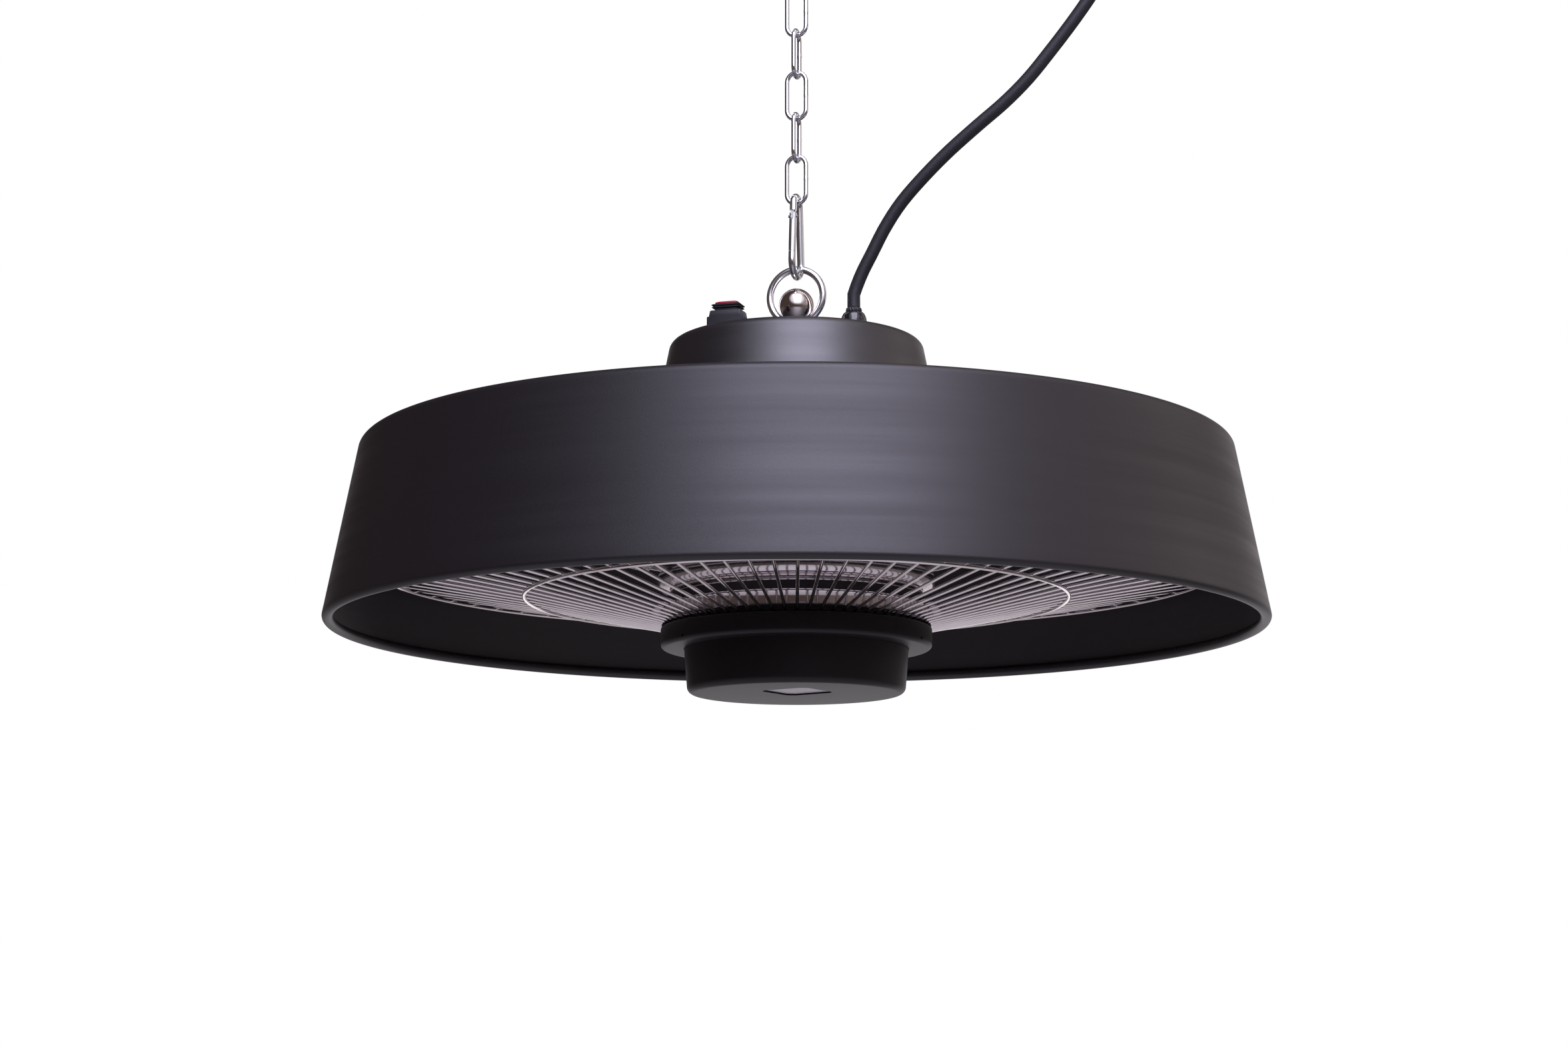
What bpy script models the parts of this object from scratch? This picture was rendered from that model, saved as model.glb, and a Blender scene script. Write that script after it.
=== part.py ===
"""Hanging electric patio heater: a black shade with a ring lamp, hung on a chain from a ceiling hook.

Run with: blender --background --python part.py
All lengths are in metres, +Z is up, and the origin is the middle of the ceiling plate's upper face.
Levels of the heater's own pieces are given as heights above the shade's rim (the middle of its bead).
"""

import math

import bmesh
import bpy
import numpy as np
from mathutils import Matrix, Vector

# Clearances and shares used all over
GAP = 0.0003
OVERRUN = 0.002
MERGE = 0.000001
SMOOTH_ANGLE = math.radians(40)
FULL_TURN = 2 * math.pi
HEX_SIDES = 6

# Round pieces: how many flats they are built from
SHADE_STEPS = 52
LARGE_STEPS = 36
MEDIUM_STEPS = 32
SMALL_STEPS = 20
TINY_STEPS = 12

# Shade: tapered drum with a rolled bead at its rim
RIM_RADIUS = 0.300
RIM_BEAD_RADIUS = 0.0035
BEAD_STEPS = 6
BEAD_SEAM_ANGLE = math.radians(65)
SHADE_WALL = 0.0015
SHADE_HEIGHT = 0.1110
SHADE_TAPER = math.radians(10.7)
SHADE_EDGE_ROUND = 0.0055

# Cap: small tapered canopy on the shade, carrying the stud, the switch and the gland
CAP_HEIGHT = 0.0727
CAP_TOP_RADIUS = 0.0815
CAP_TAPER = math.radians(11.0)
CAP_WALL = 0.0015
CAP_EDGE_ROUND = 0.0070

# Central tube and its nuts
TUBE_RADIUS = 0.0080
TUBE_WALL = 0.0024
TUBE_END_BELOW_NUT = 0.0025
TUBE_NUT_FLATS = 0.0240
TUBE_NUT_HEIGHT = 0.0065

# Ball stud on the cap
STUD_SHANK_RADIUS = 0.0050
STUD_SHANK_LENGTH = 0.0200
STUD_COLLAR_RADIUS = 0.0095
STUD_COLLAR_HEIGHT = 0.0032
STUD_NECK_RADIUS = 0.0062
BALL_RADIUS = 0.0115
STUD_BORE_ABOVE_CAP = 0.0132
BALL_ABOVE_BORE = 0.0117
STUD_NUT_FLATS = 0.0170
STUD_NUT_HEIGHT = 0.0060
BORE_MOUTH = 0.0005
BORE_STEPS = 4

# Hanging ring
RING_RADIUS = 0.0180
RING_WIRE = 0.0023
RING_POINTS = 28

# Carabiner: a pear-shaped wire with a hinged gate
CLIP_WIRE = 0.0024
CLIP_LENGTH = 0.0536
CLIP_TOP_RADIUS = 0.0065
CLIP_FOOT_RADIUS = 0.0098
CLIP_ARC_STEPS = 9
STUB_LENGTH = 0.0047
NOSE_LENGTH = 0.0042
GATE_RADIUS = 0.0025
GATE_ABOVE_RIVET = 0.0026
GATE_SLOT_WIDTH = 0.0022
TONGUE_THICKNESS = 0.0016
TONGUE_WIDTH = 0.0030
TONGUE_BEYOND_RIVET = 0.0015
RIVET_BELOW_STUB = 0.0040
RIVET_RADIUS = 0.0008
RIVET_OVERHANG = 0.0006

# Chain
LINK_COUNT = 6
LINK_WIRE = 0.0015
LINK_LENGTH = 0.0319
LINK_WIDTH = 0.0130
LINK_ARC_STEPS = 6

# Ceiling fitting
PLATE_RADIUS = 0.0260
PLATE_THICKNESS = 0.0030
PLATE_EDGE_ROUND = 0.0012
HOOK_WIRE = 0.0025
HOOK_RADIUS = 0.0100
HOOK_SHANK = 0.0140
HOOK_NECK = 0.0042
HOOK_TIP_ANGLE = math.radians(-222)
HOOK_START_ANGLE = math.radians(50)
HOOK_STEPS = 14
PLATE_SCREW_COUNT = 2
PLATE_SCREW_CIRCLE = 0.0185
PLATE_SCREW_RADIUS = 0.0019
PLATE_SCREW_HEAD_RADIUS = 0.0038
PLATE_SCREW_HEAD_HEIGHT = 0.0022

# Cable gland on the cap
GLAND_X = 0.0388
GLAND_THREAD_RADIUS = 0.0060
GLAND_THREAD_LENGTH = 0.0110
GLAND_HEX_FLATS = 0.0160
GLAND_HEX_HEIGHT = 0.0050
GLAND_NUT_FLATS = 0.0170
GLAND_NUT_HEX_HEIGHT = 0.0055
GLAND_DOME_HEIGHT = 0.0068
GLAND_DOME_TOP_RADIUS = 0.0060
GLAND_DOME_BULGE_SHARE = 0.62
GLAND_DOME_STEPS = 4
GLAND_FINGER_RADIUS = 0.0055
GLAND_FINGER_HEIGHT = 0.0026
GLAND_FINGER_COUNT = 12
GLAND_FINGER_DEPTH = 0.0005
GLAND_LOCKNUT_FLATS = 0.0150
GLAND_LOCKNUT_HEIGHT = 0.0030

# Switch on the cap
SWITCH_X = -0.0321
SWITCH_Y = -0.0440
SWITCH_LENGTH = 0.0237
SWITCH_WIDTH = 0.0160
SWITCH_FLANGE_HEIGHT = 0.0088
SWITCH_STEP_INSET = 0.0011
SWITCH_STEP_HEIGHT = 0.0043
SWITCH_OPENING_LENGTH = 0.0180
SWITCH_OPENING_WIDTH = 0.0106
SWITCH_BODY_LENGTH = 0.0190
SWITCH_BODY_WIDTH = 0.0128
SWITCH_BODY_DEPTH = 0.0220
SWITCH_BLADE_COUNT = 4
SWITCH_BLADE_LENGTH = 0.0080
SWITCH_BLADE_WIDTH = 0.0048
SWITCH_BLADE_THICKNESS = 0.0008
ROCKER_STEM_LENGTH = 0.0160
ROCKER_STEM_WIDTH = 0.0096
ROCKER_LIP_LENGTH = 0.0192
ROCKER_LIP_WIDTH = 0.0120
ROCKER_WAIST_INSET = 0.0007
ROCKER_LIP_CLEARANCE = 0.0017
ROCKER_LIP_STEP = 0.0009
ROCKER_CROWN_INSET = 0.0009
ROCKER_PIVOT_BELOW_STEP = 0.0065
ROCKER_STEM_BELOW_PIVOT = 0.0015
TRUNNION_RADIUS = 0.0010
TRUNNION_REACH = 0.0056
LENS_INSET = 0.0016
LENS_HEIGHT = 0.0019
LENS_CROWN_INSET = 0.0020

# Terminal block inside the cap
TERMINAL_X = -0.0450
TERMINAL_Y = 0.0260
TERMINAL_LENGTH = 0.0440
TERMINAL_WIDTH = 0.0200
TERMINAL_HEIGHT = 0.0180
TERMINAL_POLES = 3
TERMINAL_SCREW_RADIUS = 0.0030

# Heat shield and reflector
SHIELD_INSIDE_DISH = 0.0300
SHIELD_WALL = 0.0010
SHIELD_LIP = 0.0080
SPACER_LENGTH = 0.0105
SPACER_RADIUS = 0.0120
DISH_WALL = 0.0010
DISH_INSIDE_GRILLE = 0.0330
DISH_FLAT_RADIUS = 0.0900
DISH_CREST_RADIUS = 0.1350
DISH_CREST_RISE = 0.0022
DISH_STEP_INSIDE_EDGE = 0.0500
DISH_STEP_DROP = 0.0040
DISH_EDGE_DROP = 0.0170
DISH_LIP_DROP = 0.0045
CORE_WALL = 0.0010
CORE_RADIUS = 0.0825
CORE_NECK_RADIUS = 0.0780
CORE_BEAD_RADIUS = 0.0072
CORE_BEAD_HEIGHT = 0.0230
CORE_BAND_HEIGHT = 0.0118
CORE_TOP_ROUND = 0.0040
CORE_BEAD_STEPS = 3
CORE_BEAD_HALF_ANGLE = math.radians(68)

# Ring lamp
LAMP_RADIUS = 0.1130
LAMP_TUBE_RADIUS = 0.0055
LAMP_HEIGHT = 0.0500
LAMP_POINTS = 36
LAMP_CAP_RADIUS = 0.0080
LAMP_CAP_LENGTH = 0.0200
LAMP_CAP_SPACING = 0.0064
LAMP_CLIP_COUNT = 2
LAMP_CLIP_SPREAD = math.radians(120)
LAMP_CLIP_WIDTH = 0.0060
LAMP_CLIP_THICKNESS = 0.0012
LAMP_BRACKET_LENGTH = 0.0560
LAMP_BRACKET_WIDTH = 0.0220
LAMP_BRACKET_THICKNESS = 0.0016

# Grille
WIRE_COUNT = 72
WIRE_SIZE = 0.0022
GRILLE_INSIDE_RIM = 0.0270
GRILLE_RIM_WIDTH = 0.0030
GRILLE_RIM_HEIGHT = 0.0340
GRILLE_MID_RADIUS = 0.1738
GRILLE_MID_WIDTH = 0.0036
GRILLE_MID_HEIGHT = 0.0168
GRILLE_INNER_RADIUS = 0.0848
GRILLE_BRACKET_COUNT = 3
GRILLE_BRACKET_WIDTH = 0.0120
GRILLE_BRACKET_THICKNESS = 0.0015

# Hub under the lamp
HUB_RADIUS = 0.0866
HUB_FLANGE_HEIGHT = 0.0135
HUB_TOP = -0.0025
HUB_WALL = 0.0020
HUB_EDGE_ROUND = 0.0030
DRUM_RADIUS = 0.0716
DRUM_TAPER_INSET = 0.0022
DRUM_BOTTOM = -0.0445
DRUM_EDGE_ROUND = 0.0045
DRUM_HIDDEN_COLLAR = 0.0090
PAN_RADIUS = 0.0835
PAN_HEIGHT = 0.0040
PAN_WALL = 0.0012
HUB_SCREW_COUNT = 3
HUB_SCREW_RADIUS = 0.0014
HUB_SCREW_LENGTH = 0.0015
HUB_SCREW_START = math.radians(-8)
HUB_SCREW_BELOW_TOP = 0.0105

# Receiver window in the hub's underside
WINDOW_X = 0.0048
WINDOW_Y = -0.0134
WINDOW_SIZE = 0.0350
WINDOW_TURN = math.radians(-17)
WINDOW_CORNER = 0.0040
LENS_RECESS = 0.0006
RECEIVER_LENS_THICKNESS = 0.0026
LENS_FLANGE = 0.0030
LENS_FLANGE_THICKNESS = 0.0012

# Control board inside the hub
BOARD_RADIUS = 0.0560
BOARD_THICKNESS = 0.0016
BOARD_HEIGHT = -0.0240
BOSS_RADIUS = 0.0030
BOSS_CIRCLE = 0.0450
BOSS_COUNT = 3

# Mains cable: a hand-chosen route from the gland, in x and height above the rim, all in the plane y = 0
CABLE_RADIUS = 0.0043
CABLE_STEP_DIAMETERS = 2.4
CABLE_ROUTE = [
    (0.0413, 0.2205),
    (0.0451, 0.2291),
    (0.0509, 0.2398),
    (0.0599, 0.2565),
    (0.0710, 0.2725),
    (0.0858, 0.2883),
    (0.1027, 0.3039),
    (0.1222, 0.3196),
    (0.1402, 0.3335),
    (0.1562, 0.3483),
    (0.1717, 0.3661),
    (0.1849, 0.3822),
    (0.1975, 0.3990),
    (0.2095, 0.4172),
    (0.2207, 0.4357),
    (0.2281, 0.4457),
    (0.2381, 0.4531),
    (0.2491, 0.4571),
]
COIL_X = 0.2740
COIL_DIAMETERS = 12.0
COIL_SPACING = 0.0006
COIL_LAYER_TURNS = 2.0
COIL_CLIMB_TURNS = 0.5
COIL_LOOP_POINTS = 24
TIE_WIDTH = 0.0160
TIE_THICKNESS = 0.0014
TIE_SLACK = 0.0016

# Mains plug at the end of the coil
PLUG_RADIUS = 0.0185
PLUG_LENGTH = 0.0340
PLUG_GRIP_RADIUS = 0.0130
PLUG_TAIL_LENGTH = 0.0260
PLUG_TAIL_RADIUS = 0.0055
PIN_RADIUS = 0.0024
PIN_LENGTH = 0.0190
PIN_SPACING = 0.0190

# Levels, as heights over the rim, and radii worked out from the sizes above
CAP_BASE = SHADE_HEIGHT + GAP
CAP_TOP = CAP_BASE + CAP_HEIGHT
BORE_HEIGHT = CAP_TOP + STUD_BORE_ABOVE_CAP
RING_TOP = BORE_HEIGHT + 2 * RING_RADIUS
CLIP_FOOT = RING_TOP - RING_WIRE - CLIP_WIRE - GAP
CLIP_TOP = CLIP_FOOT + CLIP_LENGTH
CHAIN_FOOT = CLIP_TOP - CLIP_WIRE - LINK_WIRE - GAP
LINK_SEAT = 2 * LINK_WIRE + GAP
LINK_PITCH = LINK_LENGTH - LINK_SEAT
CHAIN_TOP = CHAIN_FOOT + (LINK_COUNT - 1) * LINK_PITCH + LINK_LENGTH
HOOK_FOOT = CHAIN_TOP - LINK_WIRE - HOOK_WIRE - GAP
HOOK_MIDDLE = HOOK_FOOT + HOOK_RADIUS
HOOK_TOP = HOOK_MIDDLE + HOOK_RADIUS + HOOK_SHANK
CEILING = HOOK_TOP + GAP + PLATE_THICKNESS
GLAND_TOP = CAP_TOP + GAP + GLAND_HEX_HEIGHT + GAP + GLAND_NUT_HEX_HEIGHT + GLAND_DOME_HEIGHT
FINGER_TOP = GLAND_TOP + GAP + GLAND_FINGER_HEIGHT
TUBE_TOP = CAP_TOP - CAP_WALL - GAP - STUD_NUT_HEIGHT - GAP
SHADE_NUT_LOW = SHADE_HEIGHT - SHADE_WALL - GAP - TUBE_NUT_HEIGHT
SHIELD_TOP = SHADE_NUT_LOW - GAP
DISH_TOP = SHIELD_TOP - SHIELD_WALL - GAP - SPACER_LENGTH - GAP
GRILLE_RADIUS = RIM_RADIUS - GRILLE_INSIDE_RIM
DISH_RADIUS = GRILLE_RADIUS - DISH_INSIDE_GRILLE
DISH_STEP_RADIUS = DISH_RADIUS - DISH_STEP_INSIDE_EDGE
SHIELD_RADIUS = DISH_RADIUS - SHIELD_INSIDE_DISH
CORE_TOP = DISH_TOP - DISH_WALL - GAP
PAN_TOP = HUB_TOP + GAP + PAN_HEIGHT
CORE_FOOT = PAN_TOP + GAP
FLANGE_FOOT = HUB_TOP - HUB_FLANGE_HEIGHT
HUB_NUT_TOP = HUB_TOP - HUB_WALL - GAP
CABLE_DIAMETER = 2 * CABLE_RADIUS
COIL_PITCH = CABLE_DIAMETER + COIL_SPACING
COIL_MIDDLE_RADIUS = COIL_DIAMETERS * CABLE_DIAMETER / 2
COIL_INWARD_TURNS = COIL_LAYER_TURNS + COIL_CLIMB_TURNS / 2
COIL_OUTER = COIL_MIDDLE_RADIUS + COIL_INWARD_TURNS * COIL_PITCH / 2
COIL_INNER = COIL_OUTER - COIL_INWARD_TURNS * COIL_PITCH
COIL_UPPER = CEILING - PLUG_RADIUS - GAP
COIL_LOWER = COIL_UPPER - COIL_PITCH

COLOURS = {
    "powder_black": ((0.020, 0.020, 0.024), 0.48, 0.0),
    "hub_black": ((0.016, 0.015, 0.017), 0.60, 0.0),
    "steel": ((0.55, 0.55, 0.57), 0.30, 1.0),
    "chrome": ((0.72, 0.72, 0.74), 0.10, 1.0),
    "nickel": ((0.66, 0.62, 0.58), 0.10, 1.0),
    "aluminium": ((0.80, 0.80, 0.81), 0.18, 1.0),
    "quartz": ((0.85, 0.80, 0.70), 0.10, 0.0),
    "ceramic": ((0.80, 0.78, 0.72), 0.70, 0.0),
    "black_plastic": ((0.018, 0.018, 0.020), 0.40, 0.0),
    "gloss_black": ((0.010, 0.010, 0.012), 0.12, 0.0),
    "rubber": ((0.022, 0.022, 0.025), 0.65, 0.0),
    "red_lens": ((0.60, 0.02, 0.03), 0.20, 0.0),
    "receiver_lens": ((0.62, 0.58, 0.64), 0.30, 0.0),
    "board": ((0.02, 0.16, 0.06), 0.45, 0.0),
    "grey_plastic": ((0.60, 0.60, 0.58), 0.50, 0.0),
}


def clear_scene():
    """Removes whatever the file held before."""
    for item in list(bpy.data.objects):
        bpy.data.objects.remove(item, do_unlink=True)


def make_material(name):
    """Returns the Principled material of that finish, made once."""
    if name in bpy.data.materials:
        return bpy.data.materials[name]
    colour, roughness, metallic = COLOURS[name]
    material = bpy.data.materials.new(name)
    material.use_nodes = True
    shader = material.node_tree.nodes["Principled BSDF"]
    shader.inputs["Base Color"].default_value = (*colour, 1.0)
    shader.inputs["Roughness"].default_value = roughness
    shader.inputs["Metallic"].default_value = metallic
    return material


def link(item, finish, parent, location, rotation):
    """Puts an object in the scene with its finish, parent and place."""
    bpy.context.scene.collection.objects.link(item)
    item.parent = parent
    item.location = location
    item.rotation_euler = rotation
    if finish:
        item.data.materials.append(make_material(finish))
    return item


def add_mesh(name, bm, finish, parent, location=(0, 0, 0), rotation=(0, 0, 0)):
    """Turns a bmesh into a named object with outward faces and smooth round sides."""
    bmesh.ops.remove_doubles(bm, verts=bm.verts, dist=MERGE)
    bmesh.ops.recalc_face_normals(bm, faces=bm.faces)
    mesh = bpy.data.meshes.new(name)
    bm.to_mesh(mesh)
    bm.free()
    mesh.shade_smooth()
    mesh.set_sharp_from_angle(angle=SMOOTH_ANGLE)
    return link(bpy.data.objects.new(name, mesh), finish, parent, location, rotation)


def add_pivot(name, parent, location):
    """An empty on a joint's axis, which carries the pieces that turn there."""
    pivot = bpy.data.objects.new(name, None)
    bpy.context.scene.collection.objects.link(pivot)
    pivot.parent = parent
    pivot.location = location
    return pivot


def arc(centre, radius, start, end, steps):
    """Points on an arc from angle start to angle end, both ends included."""
    angles = np.linspace(start, end, steps + 1)
    return [(centre[0] + radius * math.cos(a), centre[1] + radius * math.sin(a)) for a in angles]


def rounded(corners, steps=3):
    """Outline through corners (r, z, round), each round one an arc tangent to both its sides."""
    outline = []
    count = len(corners)
    for index, (r, z, size) in enumerate(corners):
        here = Vector((r, z))
        if size == 0:
            outline.append((r, z))
            continue
        before = Vector(corners[index - 1][:2]) - here
        after = Vector(corners[(index + 1) % count][:2]) - here
        before.normalize()
        after.normalize()
        half = before.angle(after) / 2
        start = here + before * (size / math.tan(half))
        middle = here + (before + after).normalized() * (size / math.sin(half))
        sweep = math.pi - 2 * half
        turn = -1 if before.cross(after) > 0 else 1
        spoke = start - middle
        for step in range(steps + 1):
            outline.append(tuple(middle + Matrix.Rotation(turn * sweep * step / steps, 2) @ spoke))
    return outline


def lathe_mesh(outline, steps):
    """A closed (r, z) outline turned round Z by the spin operator."""
    bm = bmesh.new()
    verts = [bm.verts.new((r, 0, z)) for r, z in outline]
    edges = []
    for index, vert in enumerate(verts):
        following = verts[(index + 1) % len(verts)]
        if vert.co.x == 0 and following.co.x == 0:
            continue
        edges.append(bm.edges.new((vert, following)))
    bmesh.ops.spin(
        bm, geom=verts + edges, cent=(0, 0, 0), axis=(0, 0, 1),
        angle=FULL_TURN, steps=steps, use_merge=True)
    bmesh.ops.remove_doubles(bm, verts=bm.verts, dist=MERGE)
    return bm


def lathe(name, outline, steps, finish, parent, location=(0, 0, 0), rotation=(0, 0, 0)):
    """A turned piece."""
    return add_mesh(name, lathe_mesh(outline, steps), finish, parent, location, rotation)


def loft_mesh(sections, bm=None):
    """Closed skin over a stack of point rings with the same count, capped at both ends."""
    bm = bm or bmesh.new()
    rings = [[bm.verts.new(point) for point in section] for section in sections]
    for low, high in zip(rings, rings[1:]):
        for index in range(len(low)):
            after = (index + 1) % len(low)
            bm.faces.new((low[index], low[after], high[after], high[index]))
    bm.faces.new(rings[0][::-1])
    bm.faces.new(rings[-1])
    return bm


def rectangle(length, width, z, x=0, y=0):
    """Corners of a rectangle at height z."""
    signs = ((-1, -1), (1, -1), (1, 1), (-1, 1))
    return [(x + a * length / 2, y + b * width / 2, z) for a, b in signs]


def block_mesh(length, width, low, high, x=0, y=0, bm=None):
    """A straight block between two heights."""
    return loft_mesh([rectangle(length, width, low, x, y), rectangle(length, width, high, x, y)], bm)


def cylinder_mesh(radius, start, end, steps, bm=None):
    """A round bar between two points."""
    bm = bm or bmesh.new()
    start = Vector(start)
    axis = Vector(end) - start
    place = Matrix.Translation(start + axis / 2) @ axis.to_track_quat("Z", "Y").to_matrix().to_4x4()
    bmesh.ops.create_cone(
        bm, cap_ends=True, segments=steps, radius1=radius, radius2=radius,
        depth=axis.length, matrix=place)
    return bm


def stack_mesh(stages, steps):
    """A closed round body over a stack of (radius, z) stages."""
    sections = []
    for radius, z in stages:
        angles = np.linspace(0, FULL_TURN, steps, endpoint=False)
        sections.append([(radius * math.cos(a), radius * math.sin(a), z) for a in angles])
    return loft_mesh(sections)


def hex_mesh(flats, bore, low, high):
    """A hexagon nut: its outer side is a hexagon, its bore just clears a round bar."""
    bm = bmesh.new()
    sides = 2 * HEX_SIDES
    rings = []
    for z in (low, high):
        outer = []
        inner = []
        for index in range(sides):
            angle = FULL_TURN * index / sides
            reach = flats / 2 / (math.cos(math.pi / HEX_SIDES) if index % 2 else 1)
            outer.append(bm.verts.new((reach * math.cos(angle), reach * math.sin(angle), z)))
            bore_reach = bore / math.cos(math.pi / sides)
            inner.append(bm.verts.new((bore_reach * math.cos(angle), bore_reach * math.sin(angle), z)))
        rings.append((outer, inner))
    (low_outer, low_inner), (high_outer, high_inner) = rings
    for index in range(sides):
        after = (index + 1) % sides
        bm.faces.new((low_outer[index], low_outer[after], high_outer[after], high_outer[index]))
        bm.faces.new((low_inner[after], low_inner[index], high_inner[index], high_inner[after]))
        bm.faces.new((high_outer[index], high_outer[after], high_inner[after], high_inner[index]))
        bm.faces.new((low_outer[after], low_outer[index], low_inner[index], low_inner[after]))
    return bm


def hex_nut(name, flats, bore, low, height, finish, parent, location):
    """A nut standing on the height low."""
    return add_mesh(name, hex_mesh(flats, bore, low, low + height), finish, parent, location)


def wire(name, points, radius, resolution, finish, parent, location=(0, 0, 0), cyclic=False):
    """A round wire or tube along points, made of a curve with a bevel and filled ends."""
    curve = bpy.data.curves.new(name, "CURVE")
    curve.dimensions = "3D"
    curve.bevel_depth = radius
    curve.bevel_resolution = resolution
    curve.use_fill_caps = True
    spline = curve.splines.new("POLY")
    spline.points.add(len(points) - 1)
    for point, place in zip(spline.points, points):
        point.co = (*place, 1.0)
    spline.use_cyclic_u = cyclic
    spline.use_smooth = True
    return link(bpy.data.objects.new(name, curve), finish, parent, location, (0, 0, 0))


def solid_wire(name, points, radius, resolution, finish, parent):
    """A round wire turned into a mesh, so that it can be cut or joined."""
    guide = wire(name + "_line", points, radius, resolution, finish, parent)
    graph = bpy.context.evaluated_depsgraph_get()
    mesh = bpy.data.meshes.new_from_object(guide.evaluated_get(graph))
    bpy.data.objects.remove(guide, do_unlink=True)
    return link(bpy.data.objects.new(name, mesh), None, parent, (0, 0, 0), (0, 0, 0))


def cut(item, cutter_mesh, name, location=(0, 0, 0), rotation=(0, 0, 0), operation="DIFFERENCE"):
    """Cuts an object with a hidden cutter that shares its parent, or joins a hidden guide to it."""
    bmesh.ops.recalc_face_normals(cutter_mesh, faces=cutter_mesh.faces)
    mesh = bpy.data.meshes.new(name)
    cutter_mesh.to_mesh(mesh)
    cutter_mesh.free()
    cutter = link(bpy.data.objects.new(name, mesh), None, item.parent, location, rotation)
    cutter.hide_render = True
    cutter.display_type = "WIRE"
    boolean = item.modifiers.new(name, "BOOLEAN")
    boolean.operation = operation
    boolean.solver = "EXACT"
    boolean.object = cutter


def smooth_route(points, step):
    """Evenly stepped points on a Catmull-Rom curve through the given points."""
    knots = np.array(points, dtype=float)
    padded = np.vstack([2 * knots[0] - knots[1], knots, 2 * knots[-1] - knots[-2]])
    fine = []
    shares = np.linspace(0, 1, 16, endpoint=False)
    for index in range(len(knots) - 1):
        a, b, c, d = padded[index:index + 4]
        for t in shares:
            fine.append(0.5 * (
                2 * b + (c - a) * t + (2 * a - 5 * b + 4 * c - d) * t**2
                + (3 * b - 3 * c + d - a) * t**3))
    fine.append(knots[-1])
    fine = np.array(fine)
    run = np.concatenate([[0], np.cumsum(np.linalg.norm(np.diff(fine, axis=0), axis=1))])
    count = max(2, round(run[-1] / step) + 1)
    places = np.linspace(0, run[-1], count)
    return np.stack([np.interp(places, run, fine[:, axis]) for axis in range(3)], axis=1)


def least_gap(points, radius, loop_points):
    """Least distance between the surfaces of two turns of one tube, measured on its points."""
    points = np.asarray(points)
    apart = loop_points // 2
    least = math.inf
    for index in range(len(points) - apart):
        reach = np.linalg.norm(points[index + apart:] - points[index], axis=1)
        least = min(least, reach.min())
    return least - 2 * radius


def build_ceiling_fitting(root):
    """Round plate, screws and open hook: the fixed end of the chain."""
    level = -CEILING
    outline = rounded([
        (0, 0, 0),
        (0, -PLATE_THICKNESS, 0),
        (PLATE_RADIUS, -PLATE_THICKNESS, PLATE_EDGE_ROUND),
        (PLATE_RADIUS, 0, 0),
    ])
    plate = lathe("ceiling_plate", outline, MEDIUM_STEPS, "chrome", root)
    holes = bmesh.new()
    for index in range(PLATE_SCREW_COUNT):
        angle = FULL_TURN * index / PLATE_SCREW_COUNT
        x = PLATE_SCREW_CIRCLE * math.cos(angle)
        y = PLATE_SCREW_CIRCLE * math.sin(angle)
        hole_radius = PLATE_SCREW_RADIUS + GAP
        cylinder_mesh(hole_radius, (x, y, -PLATE_THICKNESS - OVERRUN), (x, y, OVERRUN), TINY_STEPS, holes)
        head = -PLATE_THICKNESS - GAP
        stages = [
            (PLATE_SCREW_RADIUS, -GAP),
            (PLATE_SCREW_RADIUS, head),
            (PLATE_SCREW_HEAD_RADIUS, head),
            (PLATE_SCREW_HEAD_RADIUS, head - PLATE_SCREW_HEAD_HEIGHT / 2),
            (PLATE_SCREW_RADIUS, head - PLATE_SCREW_HEAD_HEIGHT),
        ]
        screw = stack_mesh(stages, TINY_STEPS)
        add_mesh("ceiling_screw_%d" % (index + 1), screw, "chrome", root, (x, y, 0))
    cut(plate, holes, "ceiling_plate_holes")

    neck = HOOK_MIDDLE + HOOK_RADIUS + HOOK_NECK
    path = [(0, 0, HOOK_TOP), (0, 0, HOOK_TOP - HOOK_SHANK / 3), (0, 0, neck)]
    for x, z in arc((0, HOOK_MIDDLE), HOOK_RADIUS, HOOK_START_ANGLE, HOOK_TIP_ANGLE, HOOK_STEPS):
        path.append((x, 0, z))
    points = smooth_route(path, HOOK_WIRE)
    wire("ceiling_hook", points, HOOK_WIRE, 2, "chrome", root, (0, 0, level))


def link_points(across):
    """Centre line of a link that hangs from the origin; across is the unit vector of its width."""
    end_radius = LINK_WIDTH / 2
    top = LINK_SEAT
    upper = top - end_radius
    lower = top - LINK_LENGTH + end_radius
    outline = arc((0, upper), end_radius, 0, math.pi, LINK_ARC_STEPS)
    outline += arc((0, lower), end_radius, math.pi, FULL_TURN, LINK_ARC_STEPS)
    return [(across[0] * a, across[1] * a, z) for a, z in outline]


def build_chain(root):
    """Links hung one in the other; returns the pivot on the lowest link's foot."""
    pivot = add_pivot("link_6_pivot", root, (0, 0, HOOK_FOOT - CEILING))
    for number in range(LINK_COUNT, 0, -1):
        face_on = number % 2 == 1
        across = (1, 0) if face_on else (0, 1)
        points = link_points(across)
        if number == LINK_COUNT:
            lift = HOOK_WIRE - LINK_WIRE
            points = [(x, y, z + lift) for x, y, z in points]
            drop = LINK_PITCH - lift
        else:
            drop = LINK_PITCH
        wire("chain_link_%d" % number, points, LINK_WIRE, 1, "chrome", pivot, cyclic=True)
        below = "link_%d_pivot" % (number - 1) if number > 1 else "carabiner_pivot"
        pivot = add_pivot(below, pivot, (0, 0, -drop))
    return pivot


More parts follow.
